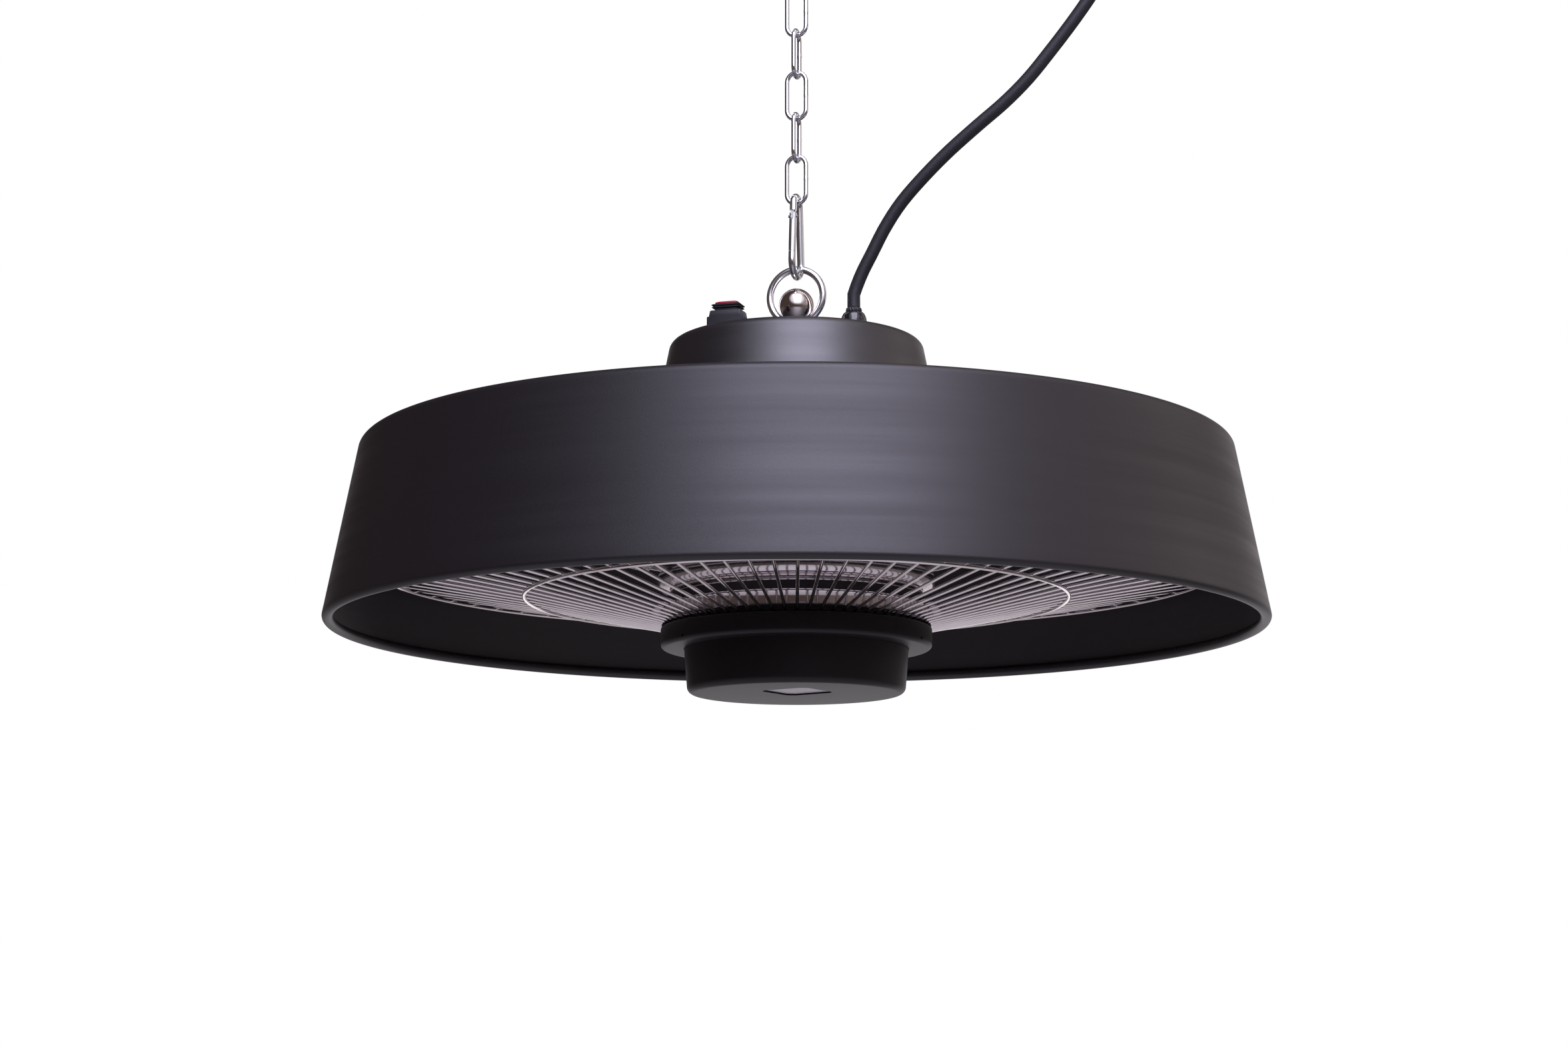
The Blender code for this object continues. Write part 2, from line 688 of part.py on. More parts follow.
def clip_frame():
    """Places on the carabiner's centre line, in (y, z) from its pivot: circle middles and side angle."""
    top = LINK_WIRE + CLIP_WIRE + GAP
    upper = Vector((0, top - CLIP_TOP_RADIUS))
    lower = Vector((0, top - CLIP_LENGTH + CLIP_FOOT_RADIUS))
    lean = math.asin((CLIP_FOOT_RADIUS - CLIP_TOP_RADIUS) / (upper - lower).length)
    return upper, lower, lean


def build_carabiner(pivot):
    """Pear-shaped wire body with a tongue, the hollow gate on its rivet, and the pivot on its foot."""
    upper, lower, lean = clip_frame()
    left = Vector((-math.cos(lean), math.sin(lean)))
    down = Vector((-math.sin(lean), -math.cos(lean)))
    stub = upper + left * CLIP_TOP_RADIUS + down * STUB_LENGTH
    nose_foot = lower + left * CLIP_FOOT_RADIUS
    nose = nose_foot - down * NOSE_LENGTH
    path = [tuple(stub)]
    path += arc(upper, CLIP_TOP_RADIUS, math.pi - lean, lean, CLIP_ARC_STEPS)
    path += arc(lower, CLIP_FOOT_RADIUS, lean, -math.pi - lean, CLIP_ARC_STEPS + 2)
    path.append(tuple(nose))
    points = [(0, y, z) for y, z in path]
    body = solid_wire("carabiner_body", points, CLIP_WIRE, 2, "chrome", pivot)

    rivet = stub + down * RIVET_BELOW_STUB
    tongue_length = RIVET_BELOW_STUB + TONGUE_BEYOND_RIVET + OVERRUN
    tongue_middle = stub + down * (tongue_length / 2 - OVERRUN)
    tongue = block_mesh(TONGUE_THICKNESS, TONGUE_WIDTH, -tongue_length / 2, tongue_length / 2)
    turn = (math.pi - lean, 0, 0)
    cut(body, tongue, "tongue_guide", (0, *tongue_middle), (-lean, 0, 0), "UNION")
    bore = RIVET_RADIUS + GAP
    bar = cylinder_mesh(bore, (-TONGUE_WIDTH, 0, 0), (TONGUE_WIDTH, 0, 0), TINY_STEPS)
    cut(body, bar, "tongue_bore", (0, *rivet))

    gate_pivot = add_pivot("gate_pivot", pivot, (0, *rivet))
    reach = (nose - rivet).dot(down) - GAP
    gate = bmesh.new()
    cylinder_mesh(GATE_RADIUS, (0, 0, -GATE_ABOVE_RIVET), (0, 0, reach), TINY_STEPS, gate)
    gate = add_mesh("carabiner_gate", gate, "chrome", gate_pivot, rotation=turn)
    slot_end = TONGUE_BEYOND_RIVET + 2 * GAP
    slot = block_mesh(GATE_SLOT_WIDTH, 2 * GATE_RADIUS + OVERRUN, -GATE_ABOVE_RIVET - OVERRUN, slot_end)
    cut(gate, slot, "gate_slot", rotation=turn)
    bar = cylinder_mesh(bore, (-2 * GATE_RADIUS, 0, 0), (2 * GATE_RADIUS, 0, 0), TINY_STEPS)
    cut(gate, bar, "gate_bore", rotation=turn)
    half = GATE_RADIUS + RIVET_OVERHANG
    pin = cylinder_mesh(RIVET_RADIUS, (-half, 0, 0), (half, 0, 0), TINY_STEPS)
    add_mesh("gate_rivet", pin, "steel", pivot, (0, *rivet))
    foot = LINK_WIRE + CLIP_WIRE + GAP - CLIP_LENGTH
    return add_pivot("ring_pivot", pivot, (0, 0, foot))


def build_ring(pivot):
    """Hanging ring on the carabiner's foot; returns the pivot on the ring's own foot."""
    top = CLIP_WIRE + RING_WIRE + GAP
    middle = top - RING_RADIUS
    points = []
    for index in range(RING_POINTS):
        angle = FULL_TURN * index / RING_POINTS
        points.append((RING_RADIUS * math.cos(angle), 0, middle + RING_RADIUS * math.sin(angle)))
    wire("hanging_ring", points, RING_WIRE, 2, "chrome", pivot, cyclic=True)
    return add_pivot("heater_pivot", pivot, (0, 0, top - 2 * RING_RADIUS))


def build_stud(heater, base):
    """Ball stud with a flared cross bore for the ring, its nut and the terminal-side washer."""
    seat = CAP_TOP + GAP
    collar = seat + STUD_COLLAR_HEIGHT
    ball = BORE_HEIGHT + BALL_ABOVE_BORE
    meet = math.asin(STUD_NECK_RADIUS / BALL_RADIUS)
    outline = [
        (0, seat - STUD_SHANK_LENGTH),
        (STUD_SHANK_RADIUS, seat - STUD_SHANK_LENGTH),
        (STUD_SHANK_RADIUS, seat),
        (STUD_COLLAR_RADIUS, seat),
        (STUD_COLLAR_RADIUS, collar),
        (STUD_NECK_RADIUS, collar),
    ]
    ball_arc = arc((0, ball), BALL_RADIUS, -math.pi / 2 + meet, math.pi / 2, 2 * CLIP_ARC_STEPS // 2)
    outline += ball_arc[:-1] + [(0, ball + BALL_RADIUS)]
    stud = lathe("ball_stud", outline, MEDIUM_STEPS, "nickel", heater, base)
    reach = BALL_RADIUS + OVERRUN
    flare = [(0, -reach)]
    for x in np.linspace(-reach, reach, 2 * BORE_STEPS + 1):
        flare.append((RING_WIRE + GAP + BORE_MOUTH + x * x / (2 * RING_RADIUS), x))
    flare.append((0, reach))
    cutter = lathe_mesh(flare, MEDIUM_STEPS // 2)
    cut(stud, cutter, "stud_bore", (0, 0, 0), (0, math.pi / 2, 0))
    bore = STUD_SHANK_RADIUS + GAP
    low = CAP_TOP - CAP_WALL - GAP - STUD_NUT_HEIGHT
    hex_nut("stud_nut", STUD_NUT_FLATS, bore, low, STUD_NUT_HEIGHT, "steel", heater, base)


def shade_outline():
    """Closed outline of the shade: bead, inner wall, top plate with its hole, outer wall."""
    slope = math.tan(SHADE_TAPER)
    hole = TUBE_RADIUS + GAP
    top_radius = RIM_RADIUS - slope * SHADE_HEIGHT
    inner_top = SHADE_HEIGHT - SHADE_WALL
    wall = SHADE_WALL / math.cos(SHADE_TAPER)
    middle = (RIM_RADIUS - RIM_BEAD_RADIUS, 0)
    start = BEAD_SEAM_ANGLE
    bead = arc(middle, RIM_BEAD_RADIUS, start, FULL_TURN + math.radians(15), BEAD_STEPS)
    rim_height = RIM_BEAD_RADIUS * math.sin(start)
    inner_foot = RIM_RADIUS - slope * rim_height - wall
    bead[0] = (inner_foot, rim_height)
    upper = rounded([
        (inner_foot, rim_height, 0),
        (RIM_RADIUS - slope * inner_top - wall, inner_top, SHADE_EDGE_ROUND - SHADE_WALL),
        (hole, inner_top, 0),
        (hole, SHADE_HEIGHT, 0),
        (top_radius, SHADE_HEIGHT, SHADE_EDGE_ROUND),
        (RIM_RADIUS - slope * RIM_BEAD_RADIUS, RIM_BEAD_RADIUS, 0),
    ])
    return upper + bead[::-1][:-1]


def build_shade(heater, base):
    """Shade, and the cap on top of it with openings for the stud, the switch and the gland."""
    lathe("shade", shade_outline(), SHADE_STEPS, "powder_black", heater, base)
    slope = math.tan(CAP_TAPER)
    foot = CAP_TOP_RADIUS + slope * CAP_HEIGHT
    hole = STUD_SHANK_RADIUS + GAP
    wall = CAP_WALL / math.cos(CAP_TAPER)
    outline = rounded([
        (foot - wall, CAP_BASE, 0),
        (foot, CAP_BASE, 0),
        (CAP_TOP_RADIUS, CAP_TOP, CAP_EDGE_ROUND),
        (hole, CAP_TOP, 0),
        (hole, CAP_TOP - CAP_WALL, 0),
        (CAP_TOP_RADIUS - wall + slope * CAP_WALL, CAP_TOP - CAP_WALL, CAP_EDGE_ROUND - CAP_WALL),
    ])
    cap = lathe("cap", outline, LARGE_STEPS, "powder_black", heater, base)
    low = CAP_TOP - CAP_WALL - OVERRUN
    high = CAP_TOP + OVERRUN
    openings = cylinder_mesh(GLAND_THREAD_RADIUS + GAP, (GLAND_X, 0, low), (GLAND_X, 0, high), SMALL_STEPS)
    cut_length = SWITCH_BODY_LENGTH + 2 * GAP
    cut_width = SWITCH_BODY_WIDTH + 2 * GAP
    block_mesh(cut_length, cut_width, low, high, SWITCH_X, SWITCH_Y, openings)
    cut(cap, openings, "cap_openings", base)


def build_tube(heater, base):
    """Central tube with the nuts that hold the shade and the hub on it."""
    low = HUB_NUT_TOP - TUBE_NUT_HEIGHT - TUBE_END_BELOW_NUT
    outline = [
        (TUBE_RADIUS - TUBE_WALL, low),
        (TUBE_RADIUS, low),
        (TUBE_RADIUS, TUBE_TOP),
        (TUBE_RADIUS - TUBE_WALL, TUBE_TOP),
    ]
    lathe("centre_tube", outline, SMALL_STEPS, "steel", heater, base)
    bore = TUBE_RADIUS + GAP
    places = {
        "tube_nut_upper": SHADE_HEIGHT + GAP,
        "tube_nut_lower": SHADE_NUT_LOW,
        "tube_nut_hub": HUB_NUT_TOP - TUBE_NUT_HEIGHT,
    }
    for name, height in places.items():
        hex_nut(name, TUBE_NUT_FLATS, bore, height, TUBE_NUT_HEIGHT, "steel", heater, base)


def build_reflector(heater, base):
    """Heat shield, spacer, wide dish and the polished core round the hub's stem."""
    hole = TUBE_RADIUS + GAP
    shield = [
        (hole, SHIELD_TOP),
        (hole, SHIELD_TOP - SHIELD_WALL),
        (SHIELD_RADIUS - SHIELD_WALL, SHIELD_TOP - SHIELD_WALL),
        (SHIELD_RADIUS - SHIELD_WALL, SHIELD_TOP - SHIELD_LIP),
        (SHIELD_RADIUS, SHIELD_TOP - SHIELD_LIP),
        (SHIELD_RADIUS, SHIELD_TOP),
    ]
    lathe("heat_shield", shield, MEDIUM_STEPS, "aluminium", heater, base)
    spacer_top = SHIELD_TOP - SHIELD_WALL - GAP
    spacer = [
        (hole, spacer_top - SPACER_LENGTH),
        (SPACER_RADIUS, spacer_top - SPACER_LENGTH),
        (SPACER_RADIUS, spacer_top),
        (hole, spacer_top),
    ]
    lathe("shield_spacer", spacer, SMALL_STEPS, "steel", heater, base)
    edge = DISH_TOP - DISH_EDGE_DROP
    upper = [
        (hole, DISH_TOP),
        (DISH_FLAT_RADIUS, DISH_TOP),
        (DISH_CREST_RADIUS, DISH_TOP + DISH_CREST_RISE),
        (DISH_STEP_RADIUS, DISH_TOP - DISH_STEP_DROP),
        (DISH_RADIUS, edge),
        (DISH_RADIUS, edge - DISH_LIP_DROP),
    ]
    lower = [(r, z - DISH_WALL) for r, z in upper[:-2]]
    lower += [(DISH_RADIUS - DISH_WALL, edge - DISH_WALL), (DISH_RADIUS - DISH_WALL, edge - DISH_LIP_DROP)]
    lathe("reflector_dish", upper + lower[::-1], MEDIUM_STEPS, "aluminium", heater, base)
    build_core(heater, base, hole)


def build_core(heater, base, hole):
    """Polished core: a deep inverted pan with a rolled bulge and a plain band above the hub."""
    bead = (CORE_RADIUS, CORE_BEAD_HEIGHT)
    half = CORE_BEAD_HALF_ANGLE
    bulge = arc(bead, CORE_BEAD_RADIUS, -half, half, CORE_BEAD_STEPS)
    inner_bulge = arc(bead, CORE_BEAD_RADIUS - CORE_WALL, -half, half, CORE_BEAD_STEPS)
    outer = [
        (CORE_RADIUS, CORE_FOOT),
        (CORE_RADIUS + CORE_WALL, CORE_BAND_HEIGHT),
        (CORE_RADIUS - CORE_WALL, CORE_BAND_HEIGHT + CORE_WALL),
    ]
    inner = [
        (CORE_RADIUS - CORE_WALL, CORE_FOOT),
        (CORE_RADIUS, CORE_BAND_HEIGHT - CORE_WALL),
        (CORE_RADIUS - 2 * CORE_WALL, CORE_BAND_HEIGHT),
    ]
    shoulder = CORE_TOP - CORE_TOP_ROUND
    outer += bulge + [
        (CORE_NECK_RADIUS, shoulder),
        (CORE_NECK_RADIUS - CORE_TOP_ROUND, CORE_TOP),
        (hole, CORE_TOP),
    ]
    inner += inner_bulge + [
        (CORE_NECK_RADIUS - CORE_WALL, shoulder),
        (CORE_NECK_RADIUS - CORE_TOP_ROUND, CORE_TOP - CORE_WALL),
        (hole, CORE_TOP - CORE_WALL),
    ]
    lathe("reflector_core", outer + inner[::-1], MEDIUM_STEPS, "aluminium", heater, base)


def ring_place(radius, angle, z):
    """A point on a circle at height z."""
    return (radius * math.cos(angle), radius * math.sin(angle), z)


def build_lamp(heater, base):
    """Open ring lamp, ceramic ends, hanger clips and the end bracket under the dish."""
    half_gap = math.asin((LAMP_CAP_LENGTH + GAP + LAMP_CAP_SPACING / 2) / LAMP_RADIUS)
    angles = np.linspace(math.pi + half_gap, 3 * math.pi - half_gap, LAMP_POINTS)
    points = [ring_place(LAMP_RADIUS, a, LAMP_HEIGHT) for a in angles]
    wire("lamp_tube", points, LAMP_TUBE_RADIUS, 1, "quartz", heater, base)

    for number, tip, inward in ((1, points[0], points[1]), (2, points[-1], points[-2])):
        along = (Vector(tip) - Vector(inward)).normalized()
        near = Vector(tip) + along * GAP
        end = cylinder_mesh(LAMP_CAP_RADIUS, near, near + along * LAMP_CAP_LENGTH, TINY_STEPS)
        add_mesh("lamp_end_%d" % number, end, "ceramic", heater, base)

    cap_top = LAMP_HEIGHT + LAMP_CAP_RADIUS + GAP
    under_dish = DISH_TOP - DISH_WALL - GAP
    plate_top = cap_top + LAMP_BRACKET_THICKNESS
    outline = [
        (-LAMP_BRACKET_WIDTH / 2, cap_top),
        (LAMP_BRACKET_WIDTH / 2, cap_top),
        (LAMP_BRACKET_WIDTH / 2, plate_top),
        (-LAMP_BRACKET_WIDTH / 2 + LAMP_BRACKET_THICKNESS, plate_top),
        (-LAMP_BRACKET_WIDTH / 2 + LAMP_BRACKET_THICKNESS, under_dish),
        (-LAMP_BRACKET_WIDTH / 2, under_dish),
    ]
    sections = []
    for y in (-LAMP_BRACKET_LENGTH / 2, LAMP_BRACKET_LENGTH / 2):
        sections.append([(-LAMP_RADIUS - x, y, z) for x, z in outline])
    add_mesh("lamp_bracket", loft_mesh(sections), "steel", heater, base)

    for index in range(LAMP_CLIP_COUNT):
        angle = (index - (LAMP_CLIP_COUNT - 1) / 2) * LAMP_CLIP_SPREAD
        turn = Matrix.Rotation(angle, 4, "Z")
        inner = LAMP_TUBE_RADIUS + GAP
        outer = inner + LAMP_CLIP_THICKNESS
        profile = arc((LAMP_RADIUS, LAMP_HEIGHT), outer, -math.pi / 2, math.pi / 2, TINY_STEPS // 2)
        dish_under = dish_height(LAMP_RADIUS - 2 * LAMP_CLIP_THICKNESS) - DISH_WALL - GAP
        profile += [(LAMP_RADIUS, dish_under), (LAMP_RADIUS - LAMP_CLIP_THICKNESS, dish_under - GAP)]
        profile += [(LAMP_RADIUS - LAMP_CLIP_THICKNESS, LAMP_HEIGHT + inner)]
        profile += arc((LAMP_RADIUS, LAMP_HEIGHT), inner, math.pi / 2, -math.pi / 2, TINY_STEPS // 2)
        sections = []
        for y in (-LAMP_CLIP_WIDTH / 2, LAMP_CLIP_WIDTH / 2):
            sections.append([turn @ Vector((x, y, z)) for x, z in profile])
        add_mesh("lamp_clip_%d" % (index + 1), loft_mesh(sections), "steel", heater, base)


def dish_height(radius):
    """Height of the dish's upper surface at a radius."""
    stations = [0, DISH_FLAT_RADIUS, DISH_CREST_RADIUS, DISH_STEP_RADIUS, DISH_RADIUS]
    rises = [0, 0, DISH_CREST_RISE, -DISH_STEP_DROP, -DISH_EDGE_DROP]
    return DISH_TOP + float(np.interp(radius, stations, rises))


def build_grille(heater, base):
    """Grille: radial wires on two rings, drawn as a lattice of strips and thickened both ways."""
    inner_height = HUB_TOP + GAP + WIRE_SIZE / 2
    mid_in = GRILLE_MID_RADIUS - GRILLE_MID_WIDTH / 2
    mid_out = GRILLE_MID_RADIUS + GRILLE_MID_WIDTH / 2
    rim_in = GRILLE_RADIUS - GRILLE_RIM_WIDTH
    rows = [
        (GRILLE_INNER_RADIUS, inner_height),
        (mid_in, GRILLE_MID_HEIGHT),
        (mid_out, GRILLE_MID_HEIGHT),
        (rim_in, GRILLE_RIM_HEIGHT),
        (GRILLE_RADIUS, GRILLE_RIM_HEIGHT),
    ]
    bm = bmesh.new()
    columns = []
    for index in range(WIRE_COUNT):
        middle = FULL_TURN * (index + 0.5) / WIRE_COUNT
        for side in (-1, 1):
            column = []
            for radius, height in rows:
                angle = middle + side * math.asin(WIRE_SIZE / 2 / radius)
                column.append(bm.verts.new(ring_place(radius, angle, height)))
            columns.append(column)
    for index in range(0, len(columns), 2):
        left = columns[index]
        right = columns[index + 1]
        following = columns[(index + 2) % len(columns)]
        for row in range(len(rows) - 1):
            bm.faces.new((left[row], right[row], right[row + 1], left[row + 1]))
        for row in (1, 3):
            bm.faces.new((right[row], following[row], following[row + 1], right[row + 1]))
    grille = add_mesh("grille", bm, "chrome", heater, base)
    solidify = grille.modifiers.new("wire_thickness", "SOLIDIFY")
    solidify.thickness = WIRE_SIZE
    solidify.offset = 0
    build_grille_brackets(heater, base)


def build_grille_brackets(heater, base):
    """Flat straps that hang the grille's outer ring from the dish's lip."""
    lip = DISH_TOP - DISH_EDGE_DROP - DISH_LIP_DROP
    low = GRILLE_RIM_HEIGHT + WIRE_SIZE / 2 + GAP
    inner = DISH_RADIUS + GAP
    thickness = GRILLE_BRACKET_THICKNESS
    outer = GRILLE_RADIUS
    high = lip + DISH_LIP_DROP / 2
    profile = [
        (inner, high),
        (inner + thickness, high),
        (inner + thickness, low + thickness),
        (outer, low + thickness),
        (outer, low),
        (inner, low),
    ]
    for index in range(GRILLE_BRACKET_COUNT):
        turn = Matrix.Rotation(FULL_TURN * (index + 0.5) / GRILLE_BRACKET_COUNT, 4, "Z")
        sections = []
        for y in (-GRILLE_BRACKET_WIDTH / 2, GRILLE_BRACKET_WIDTH / 2):
            sections.append([turn @ Vector((x, y, z)) for x, z in profile])
        add_mesh("grille_bracket_%d" % (index + 1), loft_mesh(sections), "steel", heater, base)


def window_outline(size, z, corner):
    """Square with clipped corners, turned and placed as the receiver window is."""
    half = size / 2
    inside = half - corner
    points = [
        (-inside, -half), (inside, -half), (half, -inside), (half, inside),
        (inside, half), (-inside, half), (-half, inside), (-half, -inside),
    ]
    turn = Matrix.Rotation(WINDOW_TURN, 2)
    placed = [turn @ Vector(point) for point in points]
    return [(WINDOW_X + p.x, WINDOW_Y + p.y, z) for p in placed]


def build_hub(heater, base):
    """Hub: top pan, flange, drum with the receiver window, its lens and the grub screws."""
    hole = TUBE_RADIUS + GAP
    pan_foot = HUB_TOP + GAP
    pan = [
        (hole, PAN_TOP),
        (hole, PAN_TOP - PAN_WALL),
        (PAN_RADIUS - PAN_WALL, PAN_TOP - PAN_WALL),
        (PAN_RADIUS - PAN_WALL, pan_foot),
        (PAN_RADIUS, pan_foot),
        (PAN_RADIUS, PAN_TOP),
    ]
    lathe("hub_pan", pan, MEDIUM_STEPS, "hub_black", heater, base)
    flange = rounded([
        (hole, HUB_TOP, 0),
        (hole, HUB_TOP - HUB_WALL, 0),
        (HUB_RADIUS - HUB_WALL, HUB_TOP - HUB_WALL, 0),
        (HUB_RADIUS - HUB_WALL, FLANGE_FOOT + HUB_WALL, 0),
        (DRUM_RADIUS + GAP, FLANGE_FOOT + HUB_WALL, 0),
        (DRUM_RADIUS + GAP, FLANGE_FOOT, 0),
        (HUB_RADIUS, FLANGE_FOOT, HUB_EDGE_ROUND),
        (HUB_RADIUS, HUB_TOP, HUB_WALL - GAP),
    ], 2)
    flange = lathe("hub_flange", flange, LARGE_STEPS, "hub_black", heater, base)
    holes = bmesh.new()
    height = HUB_TOP - HUB_SCREW_BELOW_TOP
    for index in range(HUB_SCREW_COUNT):
        angle = HUB_SCREW_START + FULL_TURN * index / HUB_SCREW_COUNT
        outside = ring_place(HUB_RADIUS + OVERRUN, angle, height)
        inside = ring_place(HUB_RADIUS - HUB_WALL - OVERRUN, angle, height)
        cylinder_mesh(HUB_SCREW_RADIUS + GAP, inside, outside, TINY_STEPS, holes)
        face = HUB_RADIUS - GAP
        tip = ring_place(face - HUB_SCREW_LENGTH, angle, height)
        screw = cylinder_mesh(HUB_SCREW_RADIUS, tip, ring_place(face, angle, height), TINY_STEPS)
        add_mesh("hub_screw_%d" % (index + 1), screw, "steel", heater, base)
    cut(flange, holes, "hub_screw_holes", base)

    top = FLANGE_FOOT + DRUM_HIDDEN_COLLAR
    foot_radius = DRUM_RADIUS - DRUM_TAPER_INSET
    drum = rounded([
        (0, DRUM_BOTTOM, 0),
        (foot_radius, DRUM_BOTTOM, DRUM_EDGE_ROUND),
        (DRUM_RADIUS, FLANGE_FOOT, 0),
        (DRUM_RADIUS, top, 0),
        (DRUM_RADIUS - HUB_WALL, top, 0),
        (DRUM_RADIUS - HUB_WALL, FLANGE_FOOT, 0),
        (foot_radius - HUB_WALL, DRUM_BOTTOM + HUB_WALL, DRUM_EDGE_ROUND - HUB_WALL),
        (0, DRUM_BOTTOM + HUB_WALL, 0),
    ], 3)
    drum = lathe("hub_drum", drum, LARGE_STEPS, "hub_black", heater, base)
    low = DRUM_BOTTOM - OVERRUN
    high = DRUM_BOTTOM + HUB_WALL + OVERRUN
    window = loft_mesh([window_outline(WINDOW_SIZE, z, WINDOW_CORNER) for z in (low, high)])
    cut(drum, window, "window_opening", base)
    bosses = bmesh.new()
    foot = DRUM_BOTTOM + HUB_WALL / 2
    for index in range(BOSS_COUNT):
        angle = FULL_TURN * index / BOSS_COUNT + math.pi / 2
        start = ring_place(BOSS_CIRCLE, angle, foot)
        end = ring_place(BOSS_CIRCLE, angle, BOARD_HEIGHT - GAP)
        cylinder_mesh(BOSS_RADIUS, start, end, TINY_STEPS, bosses)
    cut(drum, bosses, "board_bosses", base, operation="UNION")

    size = WINDOW_SIZE - 2 * GAP
    shelf = DRUM_BOTTOM + HUB_WALL + GAP
    stages = [
        (size, DRUM_BOTTOM + LENS_RECESS),
        (size, shelf),
        (size + 2 * LENS_FLANGE, shelf),
        (size + 2 * LENS_FLANGE, shelf + LENS_FLANGE_THICKNESS),
    ]
    lens = loft_mesh([window_outline(width, z, WINDOW_CORNER) for width, z in stages])
    add_mesh("receiver_lens", lens, "receiver_lens", heater, base)


def build_board(heater, base):
    """Round control board on the drum's three bosses."""
    low = BOARD_HEIGHT
    high = low + BOARD_THICKNESS
    outline = [(0, low), (BOARD_RADIUS, low), (BOARD_RADIUS, high), (0, high)]
    lathe("control_board", outline, MEDIUM_STEPS, "board", heater, base)


def gland_dome():
    """Outline of the gland's dome nut above its hexagon: a quarter of an egg down to the finger ring."""
    low = CAP_TOP + GAP + GLAND_HEX_HEIGHT + GAP + GLAND_NUT_HEX_HEIGHT
    wide = GLAND_NUT_FLATS / 2
    points = []
    for share in np.linspace(0, 1, GLAND_DOME_STEPS + 1):
        swell = math.cos(share * math.pi / 2) ** GLAND_DOME_BULGE_SHARE
        radius = GLAND_DOME_TOP_RADIUS + (wide - GLAND_DOME_TOP_RADIUS) * swell
        points.append((radius, low + share * GLAND_DOME_HEIGHT))
    return points


def build_gland(heater, base):
    """Cable gland: threaded body with a hexagon, dome nut, clamping fingers and locknut."""
    place = (GLAND_X, 0, base[2])
    seat = CAP_TOP + GAP
    hex_top = seat + GLAND_HEX_HEIGHT
    bore = CABLE_RADIUS + GAP
    body = hex_mesh(GLAND_HEX_FLATS, bore, seat, hex_top)
    body = add_mesh("gland_body", body, "gloss_black", heater, place)
    thread_low = seat - GLAND_THREAD_LENGTH
    thread = [
        (bore / math.cos(math.pi / TINY_STEPS), thread_low),
        (GLAND_THREAD_RADIUS, thread_low),
        (GLAND_THREAD_RADIUS, hex_top - OVERRUN),
        (bore / math.cos(math.pi / TINY_STEPS), hex_top - OVERRUN),
    ]
    cut(body, lathe_mesh(thread, TINY_STEPS), "gland_thread", place, operation="UNION")

    nut_low = hex_top + GAP
    nut_hex = nut_low + GLAND_NUT_HEX_HEIGHT
    rings = []
    sides = 2 * HEX_SIDES
    for z in (nut_low, nut_hex):
        ring = []
        for index in range(sides):
            angle = FULL_TURN * index / sides
            reach = GLAND_NUT_FLATS / 2 / (math.cos(math.pi / HEX_SIDES) if index % 2 else 1)
            ring.append((reach * math.cos(angle), reach * math.sin(angle), z))
        rings.append(ring)
    for radius, z in gland_dome():
        ring = []
        for index in range(sides):
            angle = FULL_TURN * index / sides
            ring.append((radius * math.cos(angle), radius * math.sin(angle), z))
        rings.append(ring)
    rings[2] = [(x, y, z + GAP) for x, y, z in rings[2]]
    add_mesh("gland_nut", loft_mesh(rings), "gloss_black", heater, place)

    low = GLAND_TOP + GAP
    sections = []
    for z in (low, FINGER_TOP):
        ring = []
        for index in range(2 * GLAND_FINGER_COUNT):
            angle = FULL_TURN * index / (2 * GLAND_FINGER_COUNT)
            reach = GLAND_FINGER_RADIUS - (index % 2) * GLAND_FINGER_DEPTH
            ring.append((reach * math.cos(angle), reach * math.sin(angle), z))
        sections.append(ring)
    add_mesh("gland_fingers", loft_mesh(sections), "black_plastic", heater, place)
    nut_bore = GLAND_THREAD_RADIUS + GAP
    nut_top = CAP_TOP - CAP_WALL - GAP
    low = nut_top - GLAND_LOCKNUT_HEIGHT
    hex_nut(
        "gland_locknut", GLAND_LOCKNUT_FLATS, nut_bore, low, GLAND_LOCKNUT_HEIGHT,
        "black_plastic", heater, place)


